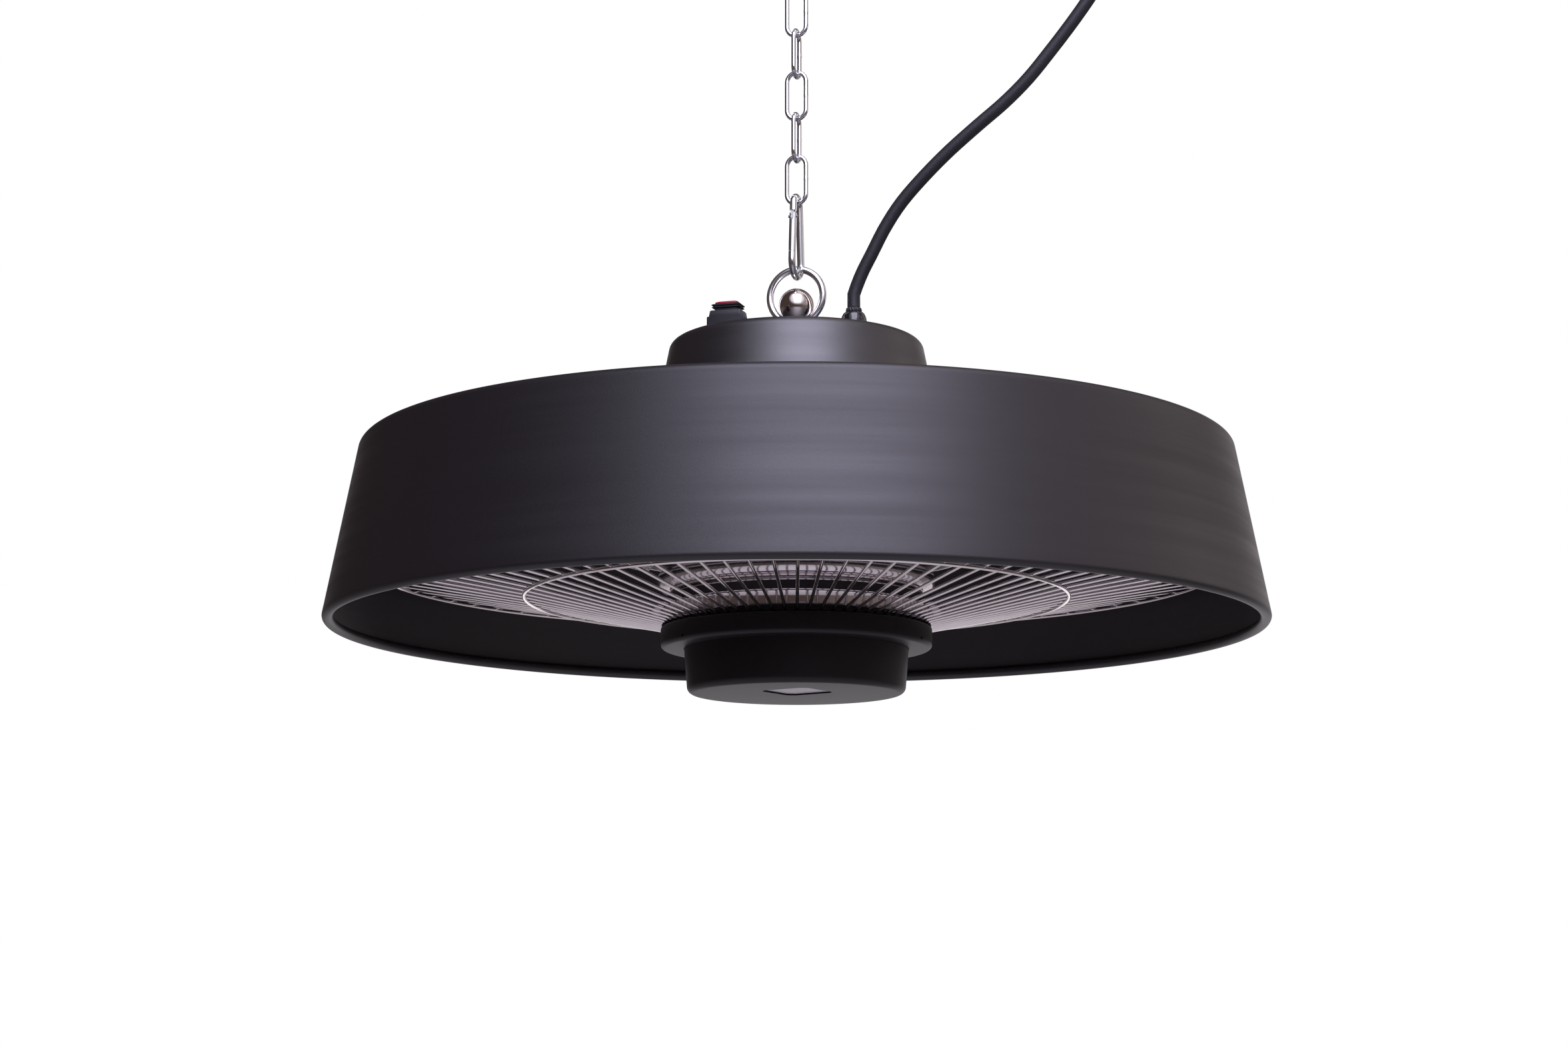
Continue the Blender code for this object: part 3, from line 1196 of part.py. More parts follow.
def build_switch(heater, base):
    """Stepped switch frame, body with blades below the cap, and the rocker with its red lens."""
    seat = CAP_TOP + GAP
    flange_top = seat + SWITCH_FLANGE_HEIGHT
    step_top = flange_top + SWITCH_STEP_HEIGHT
    place = (SWITCH_X, SWITCH_Y, base[2])
    step_length = SWITCH_LENGTH - 2 * SWITCH_STEP_INSET
    step_width = SWITCH_WIDTH - 2 * SWITCH_STEP_INSET
    frame = loft_mesh([
        rectangle(SWITCH_LENGTH, SWITCH_WIDTH, seat),
        rectangle(SWITCH_LENGTH, SWITCH_WIDTH, flange_top),
        rectangle(step_length, step_width, flange_top),
        rectangle(step_length, step_width, step_top),
    ])
    frame = add_mesh("switch_frame", frame, "black_plastic", heater, place)
    opening = block_mesh(SWITCH_OPENING_LENGTH, SWITCH_OPENING_WIDTH, seat - OVERRUN, step_top + OVERRUN)
    pivot_height = step_top - ROCKER_PIVOT_BELOW_STEP
    cut(frame, opening, "switch_opening", place)
    reach = TRUNNION_REACH + GAP
    near = (0, -reach, pivot_height)
    far = (0, reach, pivot_height)
    bores = cylinder_mesh(TRUNNION_RADIUS + GAP, near, far, TINY_STEPS)
    cut(frame, bores, "trunnion_bores", place)

    body_top = seat - GAP
    body = block_mesh(SWITCH_BODY_LENGTH, SWITCH_BODY_WIDTH, body_top - SWITCH_BODY_DEPTH, body_top)
    body = add_mesh("switch_body", body, "black_plastic", heater, place)
    blades = bmesh.new()
    blade_top = body_top - SWITCH_BODY_DEPTH + OVERRUN
    pitch = SWITCH_BODY_LENGTH / SWITCH_BLADE_COUNT
    for index in range(SWITCH_BLADE_COUNT):
        x = (index - (SWITCH_BLADE_COUNT - 1) / 2) * pitch
        low = blade_top - SWITCH_BLADE_LENGTH
        block_mesh(SWITCH_BLADE_THICKNESS, SWITCH_BLADE_WIDTH, low, blade_top, x, 0, blades)
    cut(body, blades, "switch_blades", place, operation="UNION")

    pivot = add_pivot("rocker_pivot", heater, (SWITCH_X, SWITCH_Y, base[2] + pivot_height))
    lip = ROCKER_PIVOT_BELOW_STEP + ROCKER_LIP_CLEARANCE
    waist = lip + ROCKER_LIP_STEP
    roof = waist + ROCKER_LIP_STEP
    crown = roof + ROCKER_LIP_STEP
    waist_length = ROCKER_LIP_LENGTH - 2 * ROCKER_WAIST_INSET
    waist_width = ROCKER_LIP_WIDTH - 2 * ROCKER_WAIST_INSET
    crown_length = ROCKER_LIP_LENGTH - 2 * ROCKER_CROWN_INSET
    crown_width = ROCKER_LIP_WIDTH - 2 * ROCKER_CROWN_INSET
    rocker = loft_mesh([
        rectangle(ROCKER_STEM_LENGTH, ROCKER_STEM_WIDTH, -ROCKER_STEM_BELOW_PIVOT),
        rectangle(ROCKER_STEM_LENGTH, ROCKER_STEM_WIDTH, lip - GAP),
        rectangle(ROCKER_LIP_LENGTH, ROCKER_LIP_WIDTH, lip),
        rectangle(waist_length, waist_width, waist),
        rectangle(ROCKER_LIP_LENGTH, ROCKER_LIP_WIDTH, roof),
        rectangle(crown_length, crown_width, crown),
    ])
    rocker = add_mesh("switch_rocker", rocker, "rubber", pivot)
    trunnions = cylinder_mesh(TRUNNION_RADIUS, (0, -TRUNNION_REACH, 0), (0, TRUNNION_REACH, 0), TINY_STEPS)
    cut(rocker, trunnions, "trunnion_guide", operation="UNION")
    lens_low = crown + GAP
    lens_length = crown_length - LENS_INSET
    lens_width = crown_width - LENS_INSET
    lens = loft_mesh([
        rectangle(lens_length, lens_width, lens_low),
        rectangle(lens_length, lens_width, lens_low + LENS_HEIGHT / 2),
        rectangle(lens_length - LENS_CROWN_INSET, lens_width - LENS_CROWN_INSET, lens_low + LENS_HEIGHT),
    ])
    add_mesh("switch_lens", lens, "red_lens", pivot)


def build_terminal_block(heater, base):
    """Terminal block on the shade's top plate, inside the cap."""
    low = SHADE_HEIGHT + GAP
    high = low + TERMINAL_HEIGHT
    place = (TERMINAL_X, TERMINAL_Y, base[2])
    item = block_mesh(TERMINAL_WIDTH, TERMINAL_LENGTH, low, high)
    item = add_mesh("terminal_block", item, "grey_plastic", heater, place)
    holes = bmesh.new()
    pitch = TERMINAL_LENGTH / TERMINAL_POLES
    for index in range(TERMINAL_POLES):
        y = (index - (TERMINAL_POLES - 1) / 2) * pitch
        start = (0, y, high - TERMINAL_SCREW_RADIUS)
        cylinder_mesh(TERMINAL_SCREW_RADIUS, start, (0, y, high + OVERRUN), TINY_STEPS, holes)
    cut(item, holes, "terminal_holes", place)


def coil_points():
    """Two-layer coil: straight start, spiral in, climb in the half turn, spiral out, straight end."""
    turns = 2 * COIL_LAYER_TURNS + COIL_CLIMB_TURNS
    count = round(turns * COIL_LOOP_POINTS)
    points = []
    for index in range(count + 1):
        turn = turns * index / count
        inward = min(turn, COIL_INWARD_TURNS)
        outward = max(0, turn - COIL_INWARD_TURNS)
        climb = min(1, max(0, (turn - COIL_LAYER_TURNS) / COIL_CLIMB_TURNS))
        radius = COIL_OUTER - COIL_PITCH * inward + COIL_PITCH * outward
        angle = -math.pi / 2 + FULL_TURN * turn
        height = COIL_LOWER + climb * COIL_PITCH
        x = COIL_X + radius * math.cos(angle)
        y = COIL_OUTER + radius * math.sin(angle)
        points.append(np.array([x, y, height]))
    straight = np.array([CABLE_DIAMETER, 0, 0])
    return [points[0] - straight] + points + [points[-1] - straight]


def build_cable(heater, base):
    """Cable from the gland, its tied coil at the ceiling, and the plug."""
    coil = coil_points()
    start = (GLAND_X, 0, FINGER_TOP + GAP)
    route = [(GLAND_X, 0, start[2] + CABLE_DIAMETER)]
    route += [(x, 0, z) for x, z in CABLE_ROUTE]
    finish = coil[0] - np.array([GAP, 0, 0])
    route.append(tuple(finish - np.array([CABLE_DIAMETER, 0, 0])))
    middle = smooth_route(route, CABLE_STEP_DIAMETERS * CABLE_DIAMETER)
    points = np.vstack([[start], middle, [finish]])
    wire("cable", points, CABLE_RADIUS, 2, "rubber", heater, base)
    wire("cable_coil", coil, CABLE_RADIUS, 1, "rubber", heater, base)
    length = np.linalg.norm(np.diff(points, axis=0), axis=1).sum()
    coil_length = np.linalg.norm(np.diff(np.array(coil), axis=0), axis=1).sum()
    print("cable free stretch %.4f m, coil %.4f m" % (length, coil_length))
    print("coil least gap to itself %.5f m" % least_gap(coil, CABLE_RADIUS, COIL_LOOP_POINTS))
    build_tie(heater, base)
    build_plug(heater, base, coil[-1])


def build_tie(heater, base):
    """Flat strap round the coil's bundle, under the ceiling."""
    inner_low = COIL_LOWER - CABLE_RADIUS - GAP
    inner_high = CEILING - GAP - TIE_THICKNESS
    near = COIL_INNER - CABLE_RADIUS - TIE_SLACK
    far = COIL_OUTER + CABLE_RADIUS + TIE_SLACK
    t = TIE_THICKNESS
    inner = [(near, inner_low), (far, inner_low), (far, inner_high), (near, inner_high)]
    outer = [
        (near - t, inner_low - t),
        (far + t, inner_low - t),
        (far + t, inner_high + t),
        (near - t, inner_high + t),
    ]
    bm = bmesh.new()
    rings = []
    for y in (-TIE_WIDTH / 2, TIE_WIDTH / 2):
        rings.append([bm.verts.new((x, y, z)) for x, z in outer])
        rings.append([bm.verts.new((x, y, z)) for x, z in inner])
    front_outer, front_inner, back_outer, back_inner = rings
    for index in range(4):
        after = (index + 1) % 4
        bm.faces.new((front_outer[index], front_outer[after], back_outer[after], back_outer[index]))
        bm.faces.new((front_inner[after], front_inner[index], back_inner[index], back_inner[after]))
        bm.faces.new((front_outer[after], front_outer[index], front_inner[index], front_inner[after]))
        bm.faces.new((back_outer[index], back_outer[after], back_inner[after], back_inner[index]))
    place = (COIL_X, COIL_OUTER, base[2])
    add_mesh("coil_tie", bm, "black_plastic", heater, place)


def build_plug(heater, base, coil_end):
    """Round two-pin plug beside the coil: tapered tail, grip and face, pointing along -X."""
    place = (coil_end[0] - GAP, coil_end[1], base[2] + coil_end[2])
    face = PLUG_TAIL_LENGTH + PLUG_LENGTH
    outline = rounded([
        (0, 0, 0),
        (PLUG_TAIL_RADIUS, 0, 0),
        (PLUG_TAIL_RADIUS + CABLE_RADIUS / 2, PLUG_TAIL_LENGTH, 0),
        (PLUG_GRIP_RADIUS, PLUG_TAIL_LENGTH + PLUG_LENGTH / 8, 0),
        (PLUG_GRIP_RADIUS, PLUG_TAIL_LENGTH + PLUG_LENGTH / 2, 0),
        (PLUG_RADIUS, face - PLUG_LENGTH / 3, PLUG_LENGTH / 8),
        (PLUG_RADIUS, face, 0),
        (0, face, 0),
    ], 2)
    turn = (0, -math.pi / 2, 0)
    lathe("plug_body", outline, SMALL_STEPS, "black_plastic", heater, place, turn)
    for number, side in ((1, -1), (2, 1)):
        y = side * PIN_SPACING / 2
        foot = face + GAP
        pin = cylinder_mesh(PIN_RADIUS, (0, y, foot), (0, y, foot + PIN_LENGTH), TINY_STEPS)
        add_mesh("plug_pin_%d" % number, pin, "steel", heater, place, turn)


def build():
    """Builds the whole heater from the ceiling down."""
    clear_scene()
    root = add_pivot("ceiling", None, (0, 0, 0))
    build_ceiling_fitting(root)
    clip = build_chain(root)
    ring = build_carabiner(clip)
    heater = build_ring(ring)
    base = (0, 0, -BORE_HEIGHT)
    build_stud(heater, base)
    build_shade(heater, base)
    build_tube(heater, base)
    build_reflector(heater, base)
    build_lamp(heater, base)
    build_grille(heater, base)
    build_hub(heater, base)
    build_board(heater, base)
    build_gland(heater, base)
    build_switch(heater, base)
    build_terminal_block(heater, base)
    build_cable(heater, base)
    print("ceiling above the rim %.4f m" % CEILING)


build()
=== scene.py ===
"""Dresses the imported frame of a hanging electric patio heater.

The heater hangs from a ceiling plate on a chain. Lengths are in metres. Heights in the classes below
are measured from the shade's rim, and LEVEL turns them into the frame's heights under the ceiling.
"""

import logging
import math
from dataclasses import dataclass
from enum import Enum
from typing import Any, Sequence

import bmesh
import bpy
import numpy as np
from mathutils import Matrix, Vector


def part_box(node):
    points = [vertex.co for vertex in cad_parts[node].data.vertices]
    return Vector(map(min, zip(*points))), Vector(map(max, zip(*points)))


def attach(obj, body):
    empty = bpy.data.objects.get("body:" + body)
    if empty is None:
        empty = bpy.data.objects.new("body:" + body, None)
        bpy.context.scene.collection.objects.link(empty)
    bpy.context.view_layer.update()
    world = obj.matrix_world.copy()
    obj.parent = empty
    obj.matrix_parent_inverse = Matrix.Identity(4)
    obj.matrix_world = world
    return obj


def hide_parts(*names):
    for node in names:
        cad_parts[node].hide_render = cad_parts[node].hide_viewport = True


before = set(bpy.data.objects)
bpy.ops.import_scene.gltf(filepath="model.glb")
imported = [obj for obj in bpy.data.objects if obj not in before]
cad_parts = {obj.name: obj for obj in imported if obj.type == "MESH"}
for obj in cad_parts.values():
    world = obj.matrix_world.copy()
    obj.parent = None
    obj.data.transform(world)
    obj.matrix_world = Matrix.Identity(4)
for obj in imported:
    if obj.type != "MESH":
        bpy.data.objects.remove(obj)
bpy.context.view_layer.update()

logging.basicConfig(level=logging.INFO, format="%(message)s")
LOG = logging.getLogger("heater")

Array = np.ndarray
Colour = tuple[float, float, float]
FULL_TURN = 2 * math.pi
SHARP_ANGLE = 38.0
MERGE_DISTANCE = 1e-7
WAVE_LENGTH = 0.31  # one band of the wave texture at a scale of one

# Sizes that more than one sub-assembly uses
LEVEL = 0.4855
TUBE_HOLE = 0.0083
CAP_SEAT = 0.1843
BORE_HEIGHT = 0.1972
RING_RADIUS = 0.0180
RING_WIRE = 0.0023
GLAND_X = 0.0388
SWITCH_PLACE = (-0.0321, -0.0440, 0.0)
CAMERA_TURN = math.radians(16)


class Body(Enum):
    """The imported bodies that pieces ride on, apart from the chain's links."""

    CEILING = "ceiling_fitting"
    CARABINER = "carabiner"
    GATE = "gate"
    RING = "ring"
    HEATER = "heater"
    ROCKER = "rocker"


class Plane(Enum):
    """The upright plane that a hanging wire lies in: its sideways direction and its normal."""

    ACROSS = ((1.0, 0.0, 0.0), (0.0, -1.0, 0.0))
    ALONG = ((0.0, 1.0, 0.0), (1.0, 0.0, 0.0))


# Shapes


@dataclass
class Skin:
    """Points and faces of a piece in the making."""

    points: Array
    faces: list[list[int]]

    def __add__(self, other: "Skin") -> "Skin":
        """Both skins as one.

        Args:
            other: The skin whose points and faces follow this one's.

        Returns:
            The joined skin.
        """
        shift = len(self.points)
        moved = [[corner + shift for corner in face] for face in other.faces]
        return Skin(np.vstack([self.points, other.points]), self.faces + moved)


def grid_skin(points: Array, close_rows: bool, close_columns: bool, caps: bool = False) -> Skin:
    """Quads over a grid of points.

    Args:
        points: Array of rows, columns and three coordinates.
        close_rows: Whether the last row joins the first.
        close_columns: Whether the last column joins the first.
        caps: Whether the first and last rows are closed with a face each.

    Returns:
        The skin over the grid.
    """
    rows, columns = points.shape[:2]
    index = np.arange(rows * columns).reshape(rows, columns)
    if close_rows:
        index = np.vstack([index, index[:1]])
    if close_columns:
        index = np.hstack([index, index[:, :1]])
    corners = [index[:-1, :-1], index[:-1, 1:], index[1:, 1:], index[1:, :-1]]
    faces = np.stack(corners, axis=-1).reshape(-1, 4).tolist()
    if caps:
        faces.append(list(range(columns))[::-1])
        faces.append(list(range((rows - 1) * columns, rows * columns)))
    return Skin(points.reshape(-1, 3), faces)


def revolve(profile: Sequence[Sequence[float]], steps: int, closed: bool = True) -> Skin:
    """A profile turned round Z: x = r cos a, y = r sin a, z = z, for a over a full turn.

    Args:
        profile: Pairs of radius and height above the rim.
        steps: Number of positions round the turn.
        closed: Whether the profile's last point joins its first.

    Returns:
        The turned skin.
    """
    outline = np.asarray(profile, dtype=float)
    angles = np.arange(steps) * FULL_TURN / steps
    radius = outline[None, :, 0]
    x = radius * np.cos(angles)[:, None]
    y = radius * np.sin(angles)[:, None]
    z = np.broadcast_to(outline[None, :, 1] - LEVEL, x.shape)
    return grid_skin(np.stack([x, y, z], axis=-1), True, closed)


def rounded(corners: Sequence[tuple[float, float, float]], steps: int) -> list[tuple[float, float]]:
    """An outline whose corners are arcs tangent to both sides.

    Args:
        corners: Triples of radius, height and corner round; a round of zero keeps the corner.
        steps: Number of pieces in each arc.

    Returns:
        The outline's points in order.
    """
    outline: list[tuple[float, float]] = []
    for number, (r, z, size) in enumerate(corners):
        here = Vector((r, z))
        if size == 0:
            outline.append((r, z))
            continue
        before = (Vector(corners[number - 1][:2]) - here).normalized()
        after = (Vector(corners[(number + 1) % len(corners)][:2]) - here).normalized()
        half = before.angle(after) / 2
        start = here + before * (size / math.tan(half))
        middle = here + (before + after).normalized() * (size / math.sin(half))
        sweep_angle = (math.pi - 2 * half) * (-1 if before.cross(after) > 0 else 1)
        for step in range(steps + 1):
            spoke = Matrix.Rotation(sweep_angle * step / steps, 2) @ (start - middle)
            outline.append(tuple(middle + spoke))
    return outline


def tangents(points: Array, closed: bool) -> Array:
    """Unit directions along a path.

    Args:
        points: Points of the path.
        closed: Whether the path is a loop.

    Returns:
        One direction for each point.
    """
    if closed:
        along = np.roll(points, -1, axis=0) - np.roll(points, 1, axis=0)
    else:
        along = np.gradient(points, axis=0)
    return along / np.linalg.norm(along, axis=1, keepdims=True)


def sweep(
    path: Array, normal: Sequence[float], radius: float | Array, sides: int, closed: bool = False
) -> Skin:
    """A round section carried along a flat path.

    With tangent t along the path and the plane's normal n, the side is s = t x n, and a ring's point is
    p + radius (cos a s + sin a n).

    Args:
        path: Points of the path, all in one plane.
        normal: Unit normal of that plane.
        radius: One radius, or one for each point.
        sides: Number of points round the section.
        closed: Whether the path is a loop.

    Returns:
        The swept skin, with its ends closed where the path is open.
    """
    points = np.asarray(path, dtype=float)
    up = np.asarray(normal, dtype=float)
    side = np.cross(tangents(points, closed), up)
    angles = np.arange(sides) * FULL_TURN / sides
    reach = np.broadcast_to(np.asarray(radius, dtype=float), (len(points),))[:, None, None]
    ring = np.cos(angles)[None, :, None] * side[:, None, :]
    ring = ring + np.sin(angles)[None, :, None] * up[None, None, :]
    return grid_skin(points[:, None, :] + reach * ring, closed, True, caps=not closed)


def bar(start: Sequence[float], end: Sequence[float], radius: float, sides: int, edge: float = 0.0) -> Skin:
    """A straight round bar.

    Args:
        start: One end's middle.
        end: The other end's middle.
        radius: The bar's radius.
        sides: Number of points round it.
        edge: How far its ends are rounded off, as quarter circles.

    Returns:
        The bar's skin.
    """
    first = np.asarray(start, dtype=float)
    last = np.asarray(end, dtype=float)
    along = (last - first) / np.linalg.norm(last - first)
    helper = np.array([0.0, 0.0, 1.0]) if abs(along[2]) < 0.9 else np.array([1.0, 0.0, 0.0])
    normal = np.cross(along, helper)
    normal /= np.linalg.norm(normal)
    if edge == 0:
        return sweep(np.stack([first, last]), normal, radius, sides)
    turn = np.linspace(0, math.pi / 2, 4)
    shift = edge * (1 - np.sin(turn))
    shrink = radius - edge * (1 - np.cos(turn[::-1]))
    ends = np.concatenate([first + along * shift[:, None], last - along * shift[::-1, None]])
    return sweep(ends, normal, np.concatenate([shrink, shrink[::-1]]), sides)


def box_ring(length: float, width: float, corner: float, height: float, steps: int = 4) -> Array:
    """A rectangle with round corners at one height, as points in order.

    Each corner's points are c + corner (cos a, sin a) over a quarter turn.

    Args:
        length: Size along X.
        width: Size along Y.
        corner: Radius of the corners.
        height: Height above the rim.
        steps: Number of pieces in each corner.

    Returns:
        The ring's points.
    """
    quarter = np.linspace(0, math.pi / 2, steps + 1)
    angles = np.concatenate([quarter + turn * math.pi / 2 for turn in range(4)])
    signs = np.repeat(np.array([[1, 1], [-1, 1], [-1, -1], [1, -1]]), steps + 1, axis=0)
    middle = signs * np.array([length / 2 - corner, width / 2 - corner])
    flat = middle + corner * np.stack([np.cos(angles), np.sin(angles)], axis=-1)
    return np.column_stack([flat, np.full(len(flat), height - LEVEL)])


def loft(rings: Sequence[Array], place: Sequence[float] = (0.0, 0.0, 0.0)) -> Skin:
    """A closed skin through a stack of rings, moved to its place."""
    return grid_skin(np.stack(list(rings)) + np.asarray(place), False, True, caps=True)


def arc(centre: Sequence[float], radius: float, start: float, end: float, steps: int) -> Array:
    """Points c + radius (cos a, sin a) for a from start to end, both ends included."""
    angles = np.linspace(start, end, steps + 1)
    return np.asarray(centre) + radius * np.stack([np.cos(angles), np.sin(angles)], axis=-1)


def level_ring(reach: float | Array, angles: Array, height: float) -> Array:
    """Points (reach cos a, reach sin a) at one height above the rim."""
    level = np.full(len(angles), height - LEVEL)
    return np.column_stack([reach * np.cos(angles), reach * np.sin(angles), level])


def between(start: Array, end: Array, count: int) -> Array:
    """Evenly spread points from start to end, both included."""
    return start + (end - start) * np.linspace(0, 1, count)[:, None]


def smooth_curve(knots: Array, steps: int) -> Array:
    """A smooth curve through its knots.

    From knot b to knot c, with the neighbours a and d and the share s, a point is half of
    2b + (c - a) s + (2a - 5b + 4c - d) s^2 + (3b - 3c + d - a) s^3.

    Args:
        knots: Points that the curve passes through.
        steps: Number of points from each knot to the next.

    Returns:
        The curve's points, both ends included.
    """
    padded = np.vstack([2 * knots[0] - knots[1], knots, 2 * knots[-1] - knots[-2]])
    share = np.linspace(0, 1, steps, endpoint=False)[None, :, None]
    a, b, c, d = (padded[k:len(padded) - 3 + k][:, None, :] for k in range(4))
    bend = (2 * a - 5 * b + 4 * c - d) * share**2 + (3 * b - 3 * c + d - a) * share**3
    curve = 0.5 * (2 * b + (c - a) * share + bend)
    return np.vstack([curve.reshape(-1, knots.shape[1]), knots[-1:]])


def upright(flat: Array, plane: Plane) -> Array:
    """Points of an upright plane.

    Args:
        flat: Pairs of sideways and height above the rim.
        plane: The plane that they lie in.

    Returns:
        The points in the frame.
    """
    points = flat[:, :1] * np.asarray(plane.value[0])
    points[:, 2] = flat[:, 1] - LEVEL
    return points


def wire(flat: Array, plane: Plane, radius: float | Array, sides: int, closed: bool = False) -> Skin:
    """Round wire along pairs of sideways and height above the rim, in an upright plane."""
    return sweep(upright(flat, plane), plane.value[1], radius, sides, closed)


def node_box(node: str) -> tuple[Array, Array]:
    """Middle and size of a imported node's box at rest."""
    low, high = (np.array(corner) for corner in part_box(node))
    return (low + high) / 2, high - low


# Shader maths


class Value:
    """A shader socket that takes part in Python sums."""

    def __init__(self, graph: "Graph", socket: Any) -> None:
        """Keeps the graph and the socket."""
        self.graph = graph
        self.socket = socket

    def __add__(self, other: Any) -> "Value":
        """Sum."""
        return self.graph.math("ADD", self, other)

    def __radd__(self, other: Any) -> "Value":
        """Sum, other side."""
        return self.graph.math("ADD", other, self)

    def __sub__(self, other: Any) -> "Value":
        """Difference."""
        return self.graph.math("SUBTRACT", self, other)

    def __rsub__(self, other: Any) -> "Value":
        """Difference, other side."""
        return self.graph.math("SUBTRACT", other, self)

    def __mul__(self, other: Any) -> "Value":
        """Product."""
        return self.graph.math("MULTIPLY", self, other)

    def __rmul__(self, other: Any) -> "Value":
        """Product, other side."""
        return self.graph.math("MULTIPLY", other, self)


class Graph:
    """The nodes of one material or of the surround."""

    def __init__(self, owner: bpy.types.Material | bpy.types.World) -> None:
        """Turns the owner's nodes on and keeps its node tree.

        Args:
            owner: The material or world that the nodes belong to.
        """
        owner.use_nodes = True
        self.owner = owner
        self.tree = owner.node_tree
        self._object: Value | None = None

    @classmethod
    def material(cls, name: str) -> "Graph":
        """The graph of a new material."""
        return cls(bpy.data.materials.new(name))

    def node(self, kind: str, settings: dict[str, Any], inputs: dict[Any, Any], output: Any = 0) -> Value:
        """Adds a node.

        Args:
            kind: The node's type.
            settings: Its settings, or the stops of a ramp under the name stops.
            inputs: Values or links for its sockets, by name or number.
            output: Which output is returned.

        Returns:
            The chosen output.
        """
        made = self.tree.nodes.new(kind)
        for key, value in settings.items():
            if key == "stops":
                self._set_stops(made.color_ramp, value)
            else:
                setattr(made, key, value)
        for key, value in inputs.items():
            self.feed(made.inputs[key], value)
        return Value(self, made.outputs[output] if made.outputs else None)

    @staticmethod
    def _set_stops(ramp: Any, stops: Sequence[tuple[float, float]]) -> None:
        """Gives a ramp its stops.

        Args:
            ramp: The node's ramp.
            stops: Pairs of place and grey level.
        """
        while len(ramp.elements) < len(stops):
            ramp.elements.new(0.5)
        for element, (place, level) in zip(ramp.elements, stops):
            element.position = place
            element.color = (level, level, level, 1.0)

    def feed(self, socket: Any, value: Any) -> None:
        """Links a value to a socket, or sets the socket.

        Args:
            socket: The socket that is fed.
            value: A value, number, vector or colour.
        """
        if isinstance(value, Value):
            self.tree.links.new(value.socket, socket)
        elif isinstance(value, (tuple, list)) and len(value) == 3 and socket.type == "RGBA":
            socket.default_value = (*value, 1.0)
        else:
            socket.default_value = value

    def math(self, operation: str, *terms: Any) -> Value:
        """The result of a Math node on its terms."""
        return self.node("ShaderNodeMath", {"operation": operation}, dict(enumerate(terms)))

    def place(self) -> Value:
        """Object coordinates, made once.

        Returns:
            The coordinates' output.
        """
        if self._object is None:
            self._object = self.node("ShaderNodeTexCoord", {}, {}, "Object")
        return self._object

    def stretched(self, scale: Sequence[float]) -> Value:
        """Object coordinates scaled by three factors."""
        return self.node("ShaderNodeVectorMath", {"operation": "MULTIPLY"}, {0: self.place(), 1: scale})

    def axis_distance(self) -> Value:
        """Distance from the hanging axis, r = sqrt(x^2 + y^2)."""
        flat = self.stretched((1.0, 1.0, 0.0))
        return self.node("ShaderNodeVectorMath", {"operation": "LENGTH"}, {0: flat}, "Value")

    def height(self) -> Value:
        """Height in the frame."""
        return self.node("ShaderNodeSeparateXYZ", {}, {0: self.place()}, "Z")

    def noise(self, vector: Value, scale: float, detail: float = 3.0, rough: float = 0.5) -> Value:
        """Noise between nought and one, with a number of cells a metre and finer layers."""
        inputs = {"Vector": vector, "Scale": scale, "Detail": detail, "Roughness": rough}
        return self.node("ShaderNodeTexNoise", {}, inputs)

    def cells(self, vector: Value, scale: float) -> Value:
        """Distance to the nearest of scattered points."""
        return self.node("ShaderNodeTexVoronoi", {}, {"Vector": vector, "Scale": scale}, "Distance")

    def ramp(self, value: Value, stops: Sequence[tuple[float, float]]) -> Value:
        """The value read through a ramp of grey levels."""
        return self.node("ShaderNodeValToRGB", {"stops": stops}, {"Fac": value})

    def mix(self, share: Any, first: Any, second: Any) -> Value:
        """A blend of two colours, by the share of the second."""
        inputs = {"Factor": share, 6: first, 7: second}
        return self.node("ShaderNodeMix", {"data_type": "RGBA"}, inputs, 2)

    def dot(self, first: Value, second: Any) -> Value:
        """Dot product of two vectors."""
        terms = {0: first, 1: second}
        return self.node("ShaderNodeVectorMath", {"operation": "DOT_PRODUCT"}, terms, "Value")

    def step(self, value: Value, low: float, high: float) -> Value:
        """A smooth step from nought at low to one at high."""
        settings = {"interpolation_type": "SMOOTHSTEP"}
        return self.node("ShaderNodeMapRange", settings, {0: value, 1: low, 2: high})

    def ray(self, kind: str) -> Value:
        """One for rays of that kind, else nought."""
        return self.node("ShaderNodeLightPath", {}, {}, "Is %s Ray" % kind)

    def bump(self, height: Value, distance: float) -> Value:
        """A surface raised by a height, whose full rise is the distance."""
        return self.node("ShaderNodeBump", {}, {"Height": height, "Distance": distance}, "Normal")

    def dress(self, **sockets: Any) -> bpy.types.Material:
        """Feeds the shader.

        Args:
            **sockets: What each socket gets, named with underscores for spaces.

        Returns:
            The finished material.
        """
        shader = self.tree.nodes["Principled BSDF"]
        for key, value in sockets.items():
            self.feed(shader.inputs[key.replace("_", " ")], value)
        return self.owner


# Finishes


